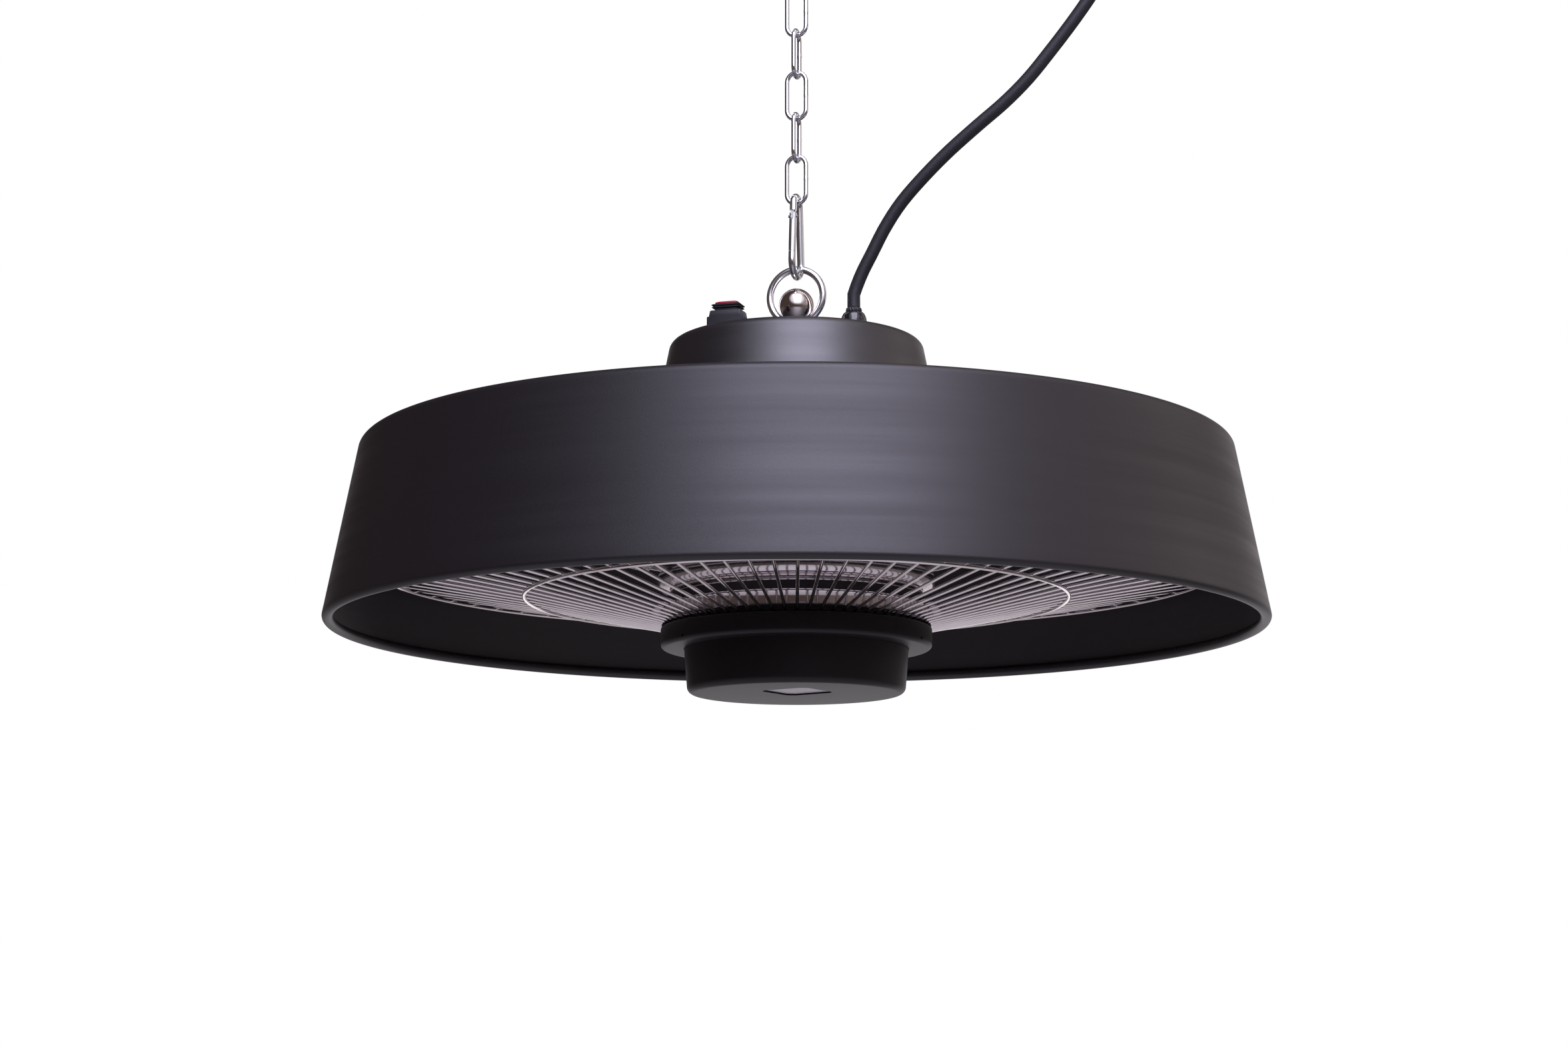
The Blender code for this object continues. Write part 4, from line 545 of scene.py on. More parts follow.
@dataclass(frozen=True)
class PowderCoat:
    """Satin powder coat on spun sheet, with fine grain and soft streaks round the axis; the streaks' colour
    is painted reflection.
    """

    name: str
    dark: Colour
    light: Colour
    roughness: float = 0.44
    grain: float = 0.00005
    streaks_and_sheen: float = 1.0
    shine: float = 0.75
    coat: float = 0.0
    grain_scale: float = 2300.0
    peel_scale: float = 700.0
    broad_scale: float = 7.0
    stretch: tuple[float, float, float] = (2.2, 2.2, 115.0)

    def build(self) -> bpy.types.Material:
        """Grain is fine noise; the streaks are noise read far finer up the wall than along it.

        Returns:
            The finished material.
        """
        graph = Graph.material(self.name)
        grain = graph.noise(graph.place(), self.grain_scale, 2.0, 0.55)
        streaks_and_sheen = graph.noise(graph.stretched(self.stretch), 1.0, 3.0, 0.6)
        broad = graph.noise(graph.place(), self.broad_scale, 2.0)
        # the streaks' share in the colour is painted reflection, the light bands that the sheet's waviness
        # throws; in roughness and bump they are the waviness itself
        tone = grain * 0.3 + streaks_and_sheen * (0.55 * self.streaks_and_sheen) + broad * 0.15
        colour = graph.mix(graph.ramp(tone, [(0.3, 0.0), (0.72, 1.0)]), self.dark, self.light)
        rough = self.roughness - (streaks_and_sheen - 0.5) * (0.26 * self.streaks_and_sheen) + (grain - 0.5) * 0.14
        peel = graph.noise(graph.place(), self.peel_scale, 2.0)
        surface = graph.bump(grain + peel * 0.25 + streaks_and_sheen * (0.2 * self.streaks_and_sheen), self.grain)
        return graph.dress(
            Base_Color=colour, Roughness=rough, Normal=surface, Specular_IOR_Level=self.shine,
            Coat_Weight=self.coat, Coat_Roughness=0.4)


@dataclass(frozen=True)
class BrightMetal:
    """Plated or polished metal with faint smudges and hairline scratches."""

    name: str
    colour: Colour
    tarnish: Colour
    roughness: float = 0.07
    smudge: float = 0.10
    scratch: float = 0.000004
    metal: float = 1.0
    smudge_scale: float = 55.0
    stretch: tuple[float, float, float] = (900.0, 900.0, 4200.0)

    def build(self) -> bpy.types.Material:
        """Smudges are soft noise in the roughness, scratches are stretched noise in the bump.

        Returns:
            The finished material.
        """
        graph = Graph.material(self.name)
        smear = graph.noise(graph.place(), self.smudge_scale, 4.0, 0.6)
        soft = graph.ramp(smear, [(0.42, 0.0), (0.75, 1.0)])
        fine = graph.noise(graph.stretched(self.stretch), 1.0, 2.0)
        colour = graph.mix(soft * 0.6 + fine * 0.15, self.colour, self.tarnish)
        rough = self.roughness + soft * self.smudge + fine * 0.03
        surface = graph.bump(fine, self.scratch)
        return graph.dress(Base_Color=colour, Metallic=self.metal, Roughness=rough, Normal=surface)


@dataclass(frozen=True)
class SpunMetal:
    """Polished sheet with the fine rings that spinning leaves round the axis."""

    name: str
    colour: Colour
    shade: Colour
    roughness: float = 0.07
    rings: float = 0.000006
    painted_shade_band: tuple[float, float] | None = None
    painted_shade_colour: Colour = (0.02, 0.018, 0.019)
    painted_shade_share: float = 0.93
    painted_shade_fade: tuple[float, float] = (0.0008, 0.0006)
    ring_scale: float = 900.0
    soft_scale: float = 24.0

    def build(self) -> bpy.types.Material:
        """Rings are noise of the radius and height.

        Painted shade darkens one band, between two heights over the rim, as smooth steps of the height; on
        the core it lies in the groove under the bulge.

        Returns:
            The finished material.
        """
        graph = Graph.material(self.name)
        across = {"X": graph.axis_distance() * self.ring_scale, "Z": graph.height() * self.ring_scale}
        rings = graph.noise(graph.node("ShaderNodeCombineXYZ", {}, across), 1.0, 4.0, 0.7)
        soft = graph.noise(graph.place(), self.soft_scale, 3.0)
        colour = graph.mix(soft * 0.5 + rings * 0.4, self.colour, self.shade)
        rough = self.roughness + rings * 0.08 + soft * 0.05
        surface = graph.bump(rings, self.rings)
        # painted shade: a dark band in the core's groove under its bulge
        if self.painted_shade_band is not None:
            rise = graph.height() - LEVEL
            (low, high), (near, far) = self.painted_shade_band, self.painted_shade_fade
            band = graph.step(rise, low, low + near) * graph.step(rise, high + far, high - far)
            colour = graph.mix(band * self.painted_shade_share, colour, self.painted_shade_colour)
        return graph.dress(Base_Color=colour, Metallic=1.0, Roughness=rough, Normal=surface)


@dataclass(frozen=True)
class Moulded:
    """Moulded plastic or rubber with a fine eroded grain."""

    name: str
    dark: Colour
    light: Colour
    roughness: float = 0.45
    cells: float = 2600.0
    grain: float = 0.00002
    coat: float = 0.0
    drift_scale: float = 60.0

    def build(self) -> bpy.types.Material:
        """Grain is fine noise, tone drifts with broad noise, and handling polishes the high spots.

        Returns:
            The finished material.
        """
        graph = Graph.material(self.name)
        grain = graph.noise(graph.place(), self.cells, 3.0, 0.6)
        drift = graph.noise(graph.place(), self.drift_scale, 3.0)
        colour = graph.mix(grain * 0.55 + drift * 0.45, self.dark, self.light)
        rough = self.roughness + (grain - 0.5) * 0.16 + (drift - 0.5) * 0.12
        surface = graph.bump(grain, self.grain)
        return graph.dress(Base_Color=colour, Roughness=rough, Normal=surface, Coat_Weight=self.coat)


@dataclass(frozen=True)
class ClearTint:
    """Tinted plastic with fine moulded prisms under a glossy face."""

    name: str
    tint: Colour
    deep: Colour
    roughness: float
    pitch: float
    coat: float
    haze_scale: float = 900.0
    depth: float = 0.00001

    def build(self) -> bpy.types.Material:
        """Prisms are a sine wave along X; the tint deepens in their grooves.

        Returns:
            The finished material.
        """
        graph = Graph.material(self.name)
        inputs = {"Vector": graph.place(), "Scale": WAVE_LENGTH / self.pitch, "Distortion": 0.0}
        wave = graph.node("ShaderNodeTexWave", {"bands_direction": "X"}, inputs, 1)
        haze = graph.noise(graph.place(), self.haze_scale, 3.0)
        colour = graph.mix(wave * 0.5 + haze * 0.3, self.tint, self.deep)
        rough = self.roughness + haze * 0.08
        surface = graph.bump(wave * 0.6 + haze * 0.4, self.depth)
        return graph.dress(Base_Color=colour, Roughness=rough, Normal=surface, Coat_Weight=self.coat)


@dataclass(frozen=True)
class Crinkled:
    """Crinkled pale wrap, as on a lamp's fired ends."""

    name: str
    pale: Colour
    grey: Colour
    metal: float = 0.75
    dent_scale: float = 620.0
    fine_scale: float = 1800.0
    depth: float = 0.0006

    def build(self) -> bpy.types.Material:
        """Creases are the edges of scattered cells, with fine noise inside them.

        Returns:
            The finished material.
        """
        graph = Graph.material(self.name)
        dents = graph.cells(graph.place(), self.dent_scale)
        fine = graph.noise(graph.place(), self.fine_scale, 3.0)
        colour = graph.mix(dents * 0.9 + fine * 0.2, self.pale, self.grey)
        rough = 0.28 + fine * 0.2
        surface = graph.bump(dents + fine * 0.3, self.depth)
        return graph.dress(Base_Color=colour, Roughness=rough, Metallic=self.metal, Normal=surface)


@dataclass(frozen=True)
class CircuitBoard:
    """Coated board with copper tracks under the coat."""

    name: str
    coat: Colour
    track: Colour
    scale: float = 90.0
    joint: float = 0.06
    depth: float = 0.00003

    def build(self) -> bpy.types.Material:
        """Tracks are the joints of a brick pattern.

        Returns:
            The finished material.
        """
        graph = Graph.material(self.name)
        settings = {"offset": 0.37, "squash": 0.6, "squash_frequency": 3}
        inputs = {"Vector": graph.place(), "Scale": self.scale, "Mortar Size": self.joint}
        brick = graph.node("ShaderNodeTexBrick", settings, inputs, "Fac")
        colour = graph.mix(brick, self.coat, self.track)
        surface = graph.bump(brick, self.depth)
        return graph.dress(Base_Color=colour, Roughness=0.35 + brick * 0.1, Normal=surface)


class Finishes:
    """Every finish of the heater, each built once when it is first asked for.

    SLOTS holds the record's slot of those finishes that aren't named like their slot.
    """

    CHOICES: dict[str, Any] = {finish.name: finish for finish in (
        PowderCoat("powder_black", (0.0085, 0.0072, 0.0095), (0.0165, 0.0140, 0.0180)),
        # the cap's coat is the shade's paint with a lighter colour, painted highlight for the brighter light
        # on the cap
        PowderCoat(
            "cap_black_painted_highlight", (0.0090, 0.0080, 0.0098), (0.0170, 0.0150, 0.0182),
            roughness=0.41, grain=0.00006, streaks_and_sheen=0.7, shine=1.25),
        PowderCoat(
            "hub_black", (0.0030, 0.0018, 0.0030), (0.0054, 0.0038, 0.0054),
            roughness=0.55, grain=0.00006, streaks_and_sheen=0.25, shine=0.38, coat=0.22),
        BrightMetal(
            "steel", (0.50, 0.50, 0.52), (0.36, 0.35, 0.36), roughness=0.26, smudge=0.16, scratch=0.000008),
        BrightMetal(
            "chrome", (0.92, 0.94, 0.96), (0.74, 0.76, 0.79), roughness=0.06, smudge=0.09, metal=0.93),
        BrightMetal("wire_chrome", (0.97, 0.91, 0.91), (0.80, 0.74, 0.75), roughness=0.03, smudge=0.04),
        BrightMetal("dark_steel", (0.030, 0.029, 0.032), (0.016, 0.016, 0.018), roughness=0.40, smudge=0.16),
        BrightMetal(
            "nickel", (0.86, 0.79, 0.75), (0.66, 0.59, 0.55), roughness=0.11, smudge=0.06, scratch=0.000002),
        # this aluminium is painted far darker than bare spun metal: painted shade for the dish deep inside
        # the housing
        SpunMetal("aluminium", (0.36, 0.345, 0.35), (0.20, 0.19, 0.195)),
        # the core's dark band is painted shade in the groove under its bulge
        SpunMetal(
            "core_aluminium", (0.93, 0.88, 0.90), (0.74, 0.69, 0.71),
            roughness=0.04, rings=0.000003, painted_shade_band=(0.0178, 0.0228)),
        Moulded(
            "quartz", (0.060, 0.045, 0.040), (0.120, 0.090, 0.075),
            roughness=0.12, cells=700.0, grain=0.00001, coat=0.8),
        Crinkled("ceramic", (0.86, 0.83, 0.82), (0.30, 0.28, 0.28)),
        Moulded("black_plastic", (0.018, 0.019, 0.023), (0.034, 0.035, 0.042), roughness=0.46),
        Moulded(
            "gloss_black", (0.010, 0.010, 0.013), (0.016, 0.016, 0.020),
            roughness=0.13, cells=1500.0, grain=0.000004, coat=0.8),
        Moulded(
            "rubber", (0.016, 0.016, 0.020), (0.034, 0.034, 0.040),
            roughness=0.50, cells=1100.0, grain=0.00014),
        ClearTint(
            "red_lens", (0.58, 0.050, 0.085), (0.34, 0.020, 0.040), roughness=0.25, pitch=0.0009, coat=0.3),
        ClearTint(
            "receiver_lens", (0.50, 0.46, 0.52), (0.38, 0.345, 0.40), roughness=0.42, pitch=0.0016, coat=0.1),
        CircuitBoard("board", (0.015, 0.11, 0.045), (0.07, 0.26, 0.10)),
        Moulded("grey_plastic", (0.50, 0.50, 0.48), (0.62, 0.62, 0.60), roughness=0.50, cells=900.0),
    )}
    SLOTS: dict[str, str] = {
        "cap_black_painted_highlight": "powder_black", "core_aluminium": "aluminium", "wire_chrome": "chrome",
        "dark_steel": "steel"}
    _made: dict[str, bpy.types.Material] = {}

    @classmethod
    def get(cls, name: str) -> bpy.types.Material:
        """The material of that finish.

        Args:
            name: The finish's name.

        Returns:
            The finish's material, built on the first call.
        """
        if name not in cls._made:
            cls._made[name] = cls.CHOICES[name].build()
        return cls._made[name]


# Making pieces


def link_new(name: str, data: Any) -> bpy.types.Object:
    """A new object, linked to the scene.

    Args:
        name: The object's name.
        data: Its mesh, curve, lamp or camera data.

    Returns:
        The new object.
    """
    made = bpy.data.objects.new(name, data)
    bpy.context.scene.collection.objects.link(made)
    return made


def new_object(name: str, skin: Skin, sharp: float = SHARP_ANGLE) -> bpy.types.Object:
    """A linked object over a skin, its doubles merged, its faces outwards and its shading smooth.

    Args:
        name: Name of the object and its mesh.
        skin: Its points and faces.
        sharp: Edges steeper than this many degrees stay sharp.

    Returns:
        The new object.
    """
    mesh = bpy.data.meshes.new(name)
    mesh.from_pydata(skin.points.tolist(), [], skin.faces)
    shape = bmesh.new()
    shape.from_mesh(mesh)
    bmesh.ops.remove_doubles(shape, verts=shape.verts, dist=MERGE_DISTANCE)
    bmesh.ops.recalc_face_normals(shape, faces=shape.faces)
    shape.to_mesh(mesh)
    shape.free()
    mesh.shade_smooth()
    mesh.set_sharp_from_angle(angle=math.radians(sharp))
    return link_new(name, mesh)


def add_piece(
    name: str, skin: Skin, finish: str, node: str, body: str = Body.HEATER.value, sharp: float = SHARP_ANGLE
) -> bpy.types.Object:
    """Makes a finished piece and hangs it on its body.

    Args:
        name: The piece's name.
        skin: Its points and faces.
        finish: Name of its finish.
        node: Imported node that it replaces.
        body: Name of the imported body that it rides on.
        sharp: Edges steeper than this many degrees stay sharp.

    Returns:
        The new object.
    """
    piece = new_object(name, skin, sharp)
    piece.data.materials.append(Finishes.get(finish))
    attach(piece, body)
    Finishes.SLOTS.get(finish, finish)
    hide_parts(node)
    LOG.info("piece %s on %s", name, body)
    return piece


def carve(piece: bpy.types.Object, cutter: Skin) -> None:
    """Cuts a shape out of a piece for good.

    Args:
        piece: The piece to cut.
        cutter: The shape that is taken away.
    """
    tool = new_object("cutter", cutter)
    boolean = piece.modifiers.new("cut", "BOOLEAN")
    boolean.operation = "DIFFERENCE"
    boolean.solver = "EXACT"
    boolean.object = tool
    graph = bpy.context.evaluated_depsgraph_get()
    result = bpy.data.meshes.new_from_object(piece.evaluated_get(graph))
    piece.modifiers.remove(boolean)
    old = piece.data
    piece.data = result
    bpy.data.meshes.remove(old)
    bpy.data.objects.remove(tool, do_unlink=True)
    result.shade_smooth()
    result.set_sharp_from_angle(angle=math.radians(SHARP_ANGLE))


# The lead


@dataclass
class MainsLead:
    """The cable from the gland to its tied coil under the ceiling, and the plug beside the coil."""

    radius: float = 0.0043
    start_height: float = 0.2051
    coil_x: float = 0.2740
    coil_radius: float = 0.0516
    coil_upper: float = 0.4667
    pitch: float = 0.0092
    layer_turns: float = 2.0
    climb_turns: float = 0.5
    loop_points: int = 24
    knot_points: int = 16
    free_points: int = 60
    strap_wall: float = 0.0007
    strap_corner: float = 0.0035
    strap_edge: float = 0.0004
    pin_edge: float = 0.0009
    route: tuple[tuple[float, float], ...] = (
        (0.0413, 0.2205), (0.0451, 0.2291), (0.0509, 0.2398), (0.0599, 0.2565), (0.0710, 0.2725),
        (0.0858, 0.2883), (0.1027, 0.3039), (0.1222, 0.3196), (0.1402, 0.3335), (0.1562, 0.3483),
        (0.1717, 0.3661), (0.1849, 0.3822), (0.1975, 0.3990), (0.2095, 0.4172), (0.2207, 0.4357),
        (0.2281, 0.4457), (0.2381, 0.4531), (0.2491, 0.4571),
    )

    def coil(self) -> Array:
        """Two layers: the radius falls by a pitch a turn, then grows again while the height climbs.

        Returns:
            Points of the coil, with a short straight at each end.
        """
        turns = 2 * self.layer_turns + self.climb_turns
        half = turns / 2
        outer = self.coil_radius + half * self.pitch / 2
        turn = np.linspace(0, turns, round(turns * self.loop_points) + 1)
        radius = outer - self.pitch * np.minimum(turn, half) + self.pitch * np.maximum(0, turn - half)
        climb = np.clip((turn - self.layer_turns) / self.climb_turns, 0, 1)
        angle = FULL_TURN * turn - math.pi / 2
        x = self.coil_x + radius * np.cos(angle)
        y = outer + radius * np.sin(angle)
        points = np.stack([x, y, self.coil_upper - self.pitch * (1 - climb)], axis=-1)
        straight = np.array([[2 * self.radius, 0, 0]])
        return np.vstack([points[:1] - straight, points, points[-1:] - straight])

    def free(self, finish: Array) -> Array:
        """Evenly spread points on a smooth curve through the route, with straight ends.

        Args:
            finish: Where the coil begins.

        Returns:
            The points from the gland to the coil.
        """
        diameter = 2 * self.radius
        start = np.array([GLAND_X, 0, self.start_height])
        middle = [np.array([x, 0, z]) for x, z in self.route]
        knots = np.array([start + [0, 0, diameter], *middle, finish - [diameter, 0, 0]])
        fine = smooth_curve(knots, self.knot_points)
        run = np.concatenate([[0], np.cumsum(np.linalg.norm(np.diff(fine, axis=0), axis=1))])
        places = np.linspace(0, run[-1], self.free_points)
        even = np.stack([np.interp(places, run, fine[:, axis]) for axis in range(3)], axis=1)
        return np.vstack([[start], even])

    def build(self) -> None:
        """Lays the whole lead as one curve, and hangs its strap and plug on it."""
        coil = self.coil()
        points = np.vstack([self.free(coil[0]), coil])
        points[:, 2] -= LEVEL
        curve = bpy.data.curves.new("mains_lead", "CURVE")
        curve.dimensions = "3D"
        curve.bevel_depth = self.radius
        curve.bevel_resolution = 4
        curve.use_fill_caps = True
        spline = curve.splines.new("POLY")
        spline.points.add(len(points) - 1)
        spline.points.foreach_set("co", np.column_stack([points, np.ones(len(points))]).ravel())
        spline.use_smooth = True
        lead = link_new("mains_lead", curve)
        curve.materials.append(Finishes.get("rubber"))
        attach(lead, Body.HEATER.value)
        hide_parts("cable", "cable_coil")
        self.strap()
        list(self.plug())

    def strap(self) -> bpy.types.Object:
        """A flat strap round the bundle, a closed band of rounded section in the plane across it.

        Returns:
            The strap.
        """
        middle, size = node_box("coil_tie")
        wall = self.strap_wall
        half = size[1] / 2
        ring = box_ring(size[0] - 2 * wall, size[2] - 2 * wall, self.strap_corner, LEVEL, 6)
        loop = ring[:, [0, 2, 1]] + middle
        out = np.cross(tangents(loop, True), np.array([0.0, 1.0, 0.0]))
        outline = np.array([[-half, -wall], [half, -wall], [half, wall], [-half, wall]])
        points = loop[:, None, :] + outline[None, :, 1:] * out[:, None, :]
        points[:, :, 1] = middle[1] + outline[None, :, 0]
        strap = add_piece("coil_strap", grid_skin(points, True, True), "black_plastic", "coil_tie")
        edge = strap.modifiers.new("edge", "BEVEL")
        edge.width = self.strap_edge
        edge.segments = 3
        edge.limit_method = "ANGLE"
        edge.angle_limit = math.radians(SHARP_ANGLE)
        edge.harden_normals = False
        return strap

    def plug(self) -> list[bpy.types.Object]:
        """The plug, a turned body laid along X whose tail meets the coil's end, and its two pins.

        Returns:
            The plug's body and its pins.
        """
        middle, size = node_box("plug_body")
        length = size[0]
        outline = rounded([
            (0, 0, 0), (0.0055, 0, 0.0006), (0.0072, 0.0240, 0.0015), (0.0128, 0.0300, 0.003),
            (0.0128, 0.0430, 0.003), (0.0185, 0.0480, 0.0035), (0.0185, length, 0.0012), (0, length, 0)], 4)
        skin = revolve(np.array(outline) + [0, LEVEL], 64, closed=False)
        points = skin.points[:, [2, 1, 0]] * [-1, 1, 1] + middle + [length / 2, 0, 0]
        made = [add_piece("plug_shell", Skin(points, skin.faces), "black_plastic", "plug_body")]
        for number in (1, 2):
            node = "plug_pin_%d" % number
            middle, size = node_box(node)
            half = np.array([size[0] / 2, 0, 0])
            pin = bar(middle + half, middle - half, size[2] / 2, 24, self.pin_edge)
            made.append(add_piece("plug_prong_%d" % number, pin, "steel", node))
        return made


# The hanging pieces


@dataclass
class Suspension:
    """Ceiling plate and hook, chain, carabiner and ring.

    A weld is its reach and its share of extra thickness, after its angle in the ring's case.
    """

    ring_weld: tuple[float, float, float] = (1.15 * math.pi, 0.06, 0.03)
    link_weld: tuple[float, float] = (0.0009, 0.10)
    clip_wire: float = 0.0024
    clip_foot: float = 0.2282
    clip_length: float = 0.0536
    clip_top_radius: float = 0.0065
    clip_foot_radius: float = 0.0098
    clip_stub: float = 0.0047
    clip_nose: float = 0.0042
    rivet_drop: float = 0.0040
    rivet_half: float = 0.0031
    rivet_radius: float = 0.0009
    tongue_half: tuple[float, float] = (0.0015, 0.0008)
    tongue_run: tuple[float, float] = (0.0020, 0.0015)
    fork_half: tuple[float, float] = (0.0040, 0.0011)
    fork_run: tuple[float, float] = (0.0060, 0.0026)
    gate_gap: float = 0.0003
    gate_back: tuple[float, ...] = (-0.0026, -0.0022, 0.0)
    gate_shares: tuple[float, ...] = (0.4, 0.8, 1.0)
    gate_radii: tuple[float, ...] = (0.0019, 0.0024, 0.0025, 0.0025, 0.0025, 0.0024)
    link_wire: float = 0.0015
    link_length: float = 0.0319
    link_width: float = 0.0130
    link_pitch: float = 0.0286
    link_count: int = 6
    chain_foot: float = 0.2776
    hook_wire: float = 0.0025
    hook_radius: float = 0.0100
    hook_foot: float = 0.4482
    hook_shank: tuple[float, ...] = (0.0140, 0.0095, 0.0042)
    hook_span: tuple[float, float] = (math.radians(50), math.radians(-222))
    hook_tip: tuple[float, ...] = (0.96, 0.85, 0.62, 0.25)
    plate_radius: float = 0.0260
    plate_thickness: float = 0.0030
    plate_edge: float = 0.0018
    screw_gap: float = 0.0003
    screw_dome: float = 0.0022
    screw_slot: tuple[float, float] = (0.0030, 0.0006)
    slot_depths: tuple[float, float] = (0.0014, 0.0030)
    slot_corner: float = 0.0002

    def build(self) -> None:
        """Builds every hanging piece from the ring up."""
        self.ring()
        self.carabiner()
        for number in range(1, self.link_count + 1):
            self.link(number)
        self.hook()
        self.plate()

    def ring(self) -> None:
        """A welded ring: a circle swept by its wire, a little thicker at the weld."""
        flat = arc((0, BORE_HEIGHT + RING_RADIUS), RING_RADIUS, 0, FULL_TURN, 96)[:-1]
        angles = np.arange(96) * FULL_TURN / 96
        place, reach, extra = self.ring_weld
        weld = np.exp(-((angles - place) / reach) ** 2)
        skin = wire(flat, Plane.ACROSS, RING_WIRE * (1 + extra * weld), 24, True)
        add_piece("steel_ring", skin, "chrome", "hanging_ring", Body.RING.value)

    def link(self, number: int) -> None:
        """A chain link: two half circles joined by straights, with a butt weld on one side.

        Args:
            number: The link's number, from one at the carabiner.
        """
        foot = self.chain_foot + (number - 1) * self.link_pitch
        end = self.link_width / 2
        upper = foot + self.link_length - end
        lower = foot + end
        right = between(np.array([end, lower]), np.array([end, upper]), 15)[1:-1]
        left = right[::-1] * [-1, 1]
        top = arc((0, upper), end, 0, math.pi, 20)
        loop = np.vstack([right, top, left, arc((0, lower), end, math.pi, FULL_TURN, 20)])
        from_weld = np.linalg.norm(loop - np.array([end, (upper + lower) / 2]), axis=1)
        reach, extra = self.link_weld
        radius = self.link_wire * (1 + extra * np.exp(-(from_weld / reach) ** 2))
        plane = Plane.ACROSS if number % 2 == 1 else Plane.ALONG
        skin = wire(loop, plane, radius, 18, True)
        add_piece("link_loop_%d" % number, skin, "chrome", "chain_link_%d" % number, "link_%d" % number)

    def carabiner(self) -> None:
        """The pear-shaped clip: arcs at top and foot, the spine between them, and the notched nose."""
        upper = np.array([0, self.clip_foot + self.clip_length - self.clip_top_radius])
        lower = np.array([0, self.clip_foot + self.clip_foot_radius])
        lean = math.asin((self.clip_foot_radius - self.clip_top_radius) / (upper[1] - lower[1]))
        left = np.array([-math.cos(lean), math.sin(lean)])
        down = np.array([-math.sin(lean), -math.cos(lean)])
        stub = upper + left * self.clip_top_radius + down * self.clip_stub
        nose = lower + left * self.clip_foot_radius - down * self.clip_nose
        over = arc(upper, self.clip_top_radius, math.pi - lean, lean, 26)
        under = arc(lower, self.clip_foot_radius, lean, -math.pi - lean, 34)
        spine = between(over[-1], under[0], 16)[1:-1]
        path = np.vstack([
            between(stub, over[0], 5)[:-1], over, spine, under, between(under[-1], nose, 6)[1:]])
        rivet = stub + down * self.rivet_drop
        above, below = self.tongue_run
        tongue = self.flat_bar(stub - down * above, rivet + down * below, self.tongue_half, left)
        skin = wire(path, Plane.ALONG, self.clip_wire, 22) + tongue
        add_piece("clip_frame", skin, "chrome", "carabiner_body", Body.CARABINER.value)
        self.gate(rivet, nose, down, left)

    def flat_bar(self, start: Array, end: Array, half: tuple[float, float], side: Array) -> Skin:
        """A small flat bar in the clip's plane.

        Args:
            start: One end, as sideways and height.
            end: The other end.
            half: Half its width in the plane, and half its thickness across the plane.
            side: Unit direction of its width in the plane.

        Returns:
            The bar's skin.
        """
        rings = []
        for middle in (start, end):
            points = upright(middle + side * half[0] * np.array([[-1], [1], [1], [-1]]), Plane.ALONG)
            points[:, 0] = np.array([-1, -1, 1, 1]) * half[1]
            rings.append(points)
        return loft(rings)

    def gate(self, rivet: Array, nose: Array, down: Array, left: Array) -> None:
        """The hollow gate: a bar forked over the tongue, flared to a lip that seats on the nose.

        Args:
            rivet: The rivet's middle, as sideways and height.
            nose: The end of the clip's nose.
            down: Unit direction down the gate.
            left: Unit direction out of the gate.
        """
        reach = float((nose - rivet) @ down) - self.gate_gap
        run = np.array([*self.gate_back, *(share * reach for share in self.gate_shares)])
        skin = wire(rivet + down * run[:, None], Plane.ALONG, np.array(self.gate_radii), 22)
        gate = add_piece("clip_gate", skin, "chrome", "carabiner_gate", Body.GATE.value)
        above, below = self.fork_run
        carve(gate, self.flat_bar(rivet - down * above, rivet + down * below, self.fork_half, left))
        middle = upright(rivet[None, :], Plane.ALONG)[0]
        half = np.array([self.rivet_half, 0, 0])
        pin = bar(middle - half, middle + half, self.rivet_radius, 20, 0.0003)
        add_piece("clip_rivet", pin, "steel", "gate_rivet", Body.CARABINER.value)

    def hook(self) -> None:
        """The ceiling hook: a shank that runs into most of a circle, open on one side."""
        middle = self.hook_foot + self.hook_radius
        crown = middle + self.hook_radius
        shank = np.array([[0, crown + rise] for rise in self.hook_shank])
        bend = arc((0, middle), self.hook_radius, *self.hook_span, 14)
        path = smooth_curve(np.vstack([shank, bend]), 8)
        radius = np.full(len(path), self.hook_wire)
        radius[-len(self.hook_tip):] = self.hook_wire * np.array(self.hook_tip)
        skin = wire(path, Plane.ACROSS, radius, 20)
        add_piece("hook_wire", skin, "chrome", "ceiling_hook", Body.CEILING.value)

    def plate(self) -> None:
        """The ceiling plate, a flat disc with a rolled edge, and its two slotted domed screws."""
        foot = LEVEL - self.plate_thickness
        side = self.plate_radius
        outline = rounded([(0, foot, 0), (side, foot, self.plate_edge), (side, LEVEL, 0), (0, LEVEL, 0)], 6)
        add_piece("plate_disc", revolve(outline, 96, False), "chrome", "ceiling_plate", Body.CEILING.value)
        head = foot - self.screw_gap
        turn = np.linspace(0, math.pi / 2, 8)
        for number in (1, 2):
            node = "ceiling_screw_%d" % number
            middle, size = node_box(node)
            dome = np.column_stack([size[0] / 2 * np.cos(turn), head - self.screw_dome * np.sin(turn)])
            skin = revolve(np.vstack([[0, head], dome]), 40, False)
            skin.points[:, 0] += middle[0]
            screw = add_piece("screw_head_%d" % number, skin, "steel", node, Body.CEILING.value)
            for long, wide in (self.screw_slot, self.screw_slot[::-1]):
                rings = [box_ring(long, wide, self.slot_corner, head - deep) for deep in self.slot_depths]
                carve(screw, loft(rings, (middle[0], 0, 0)))


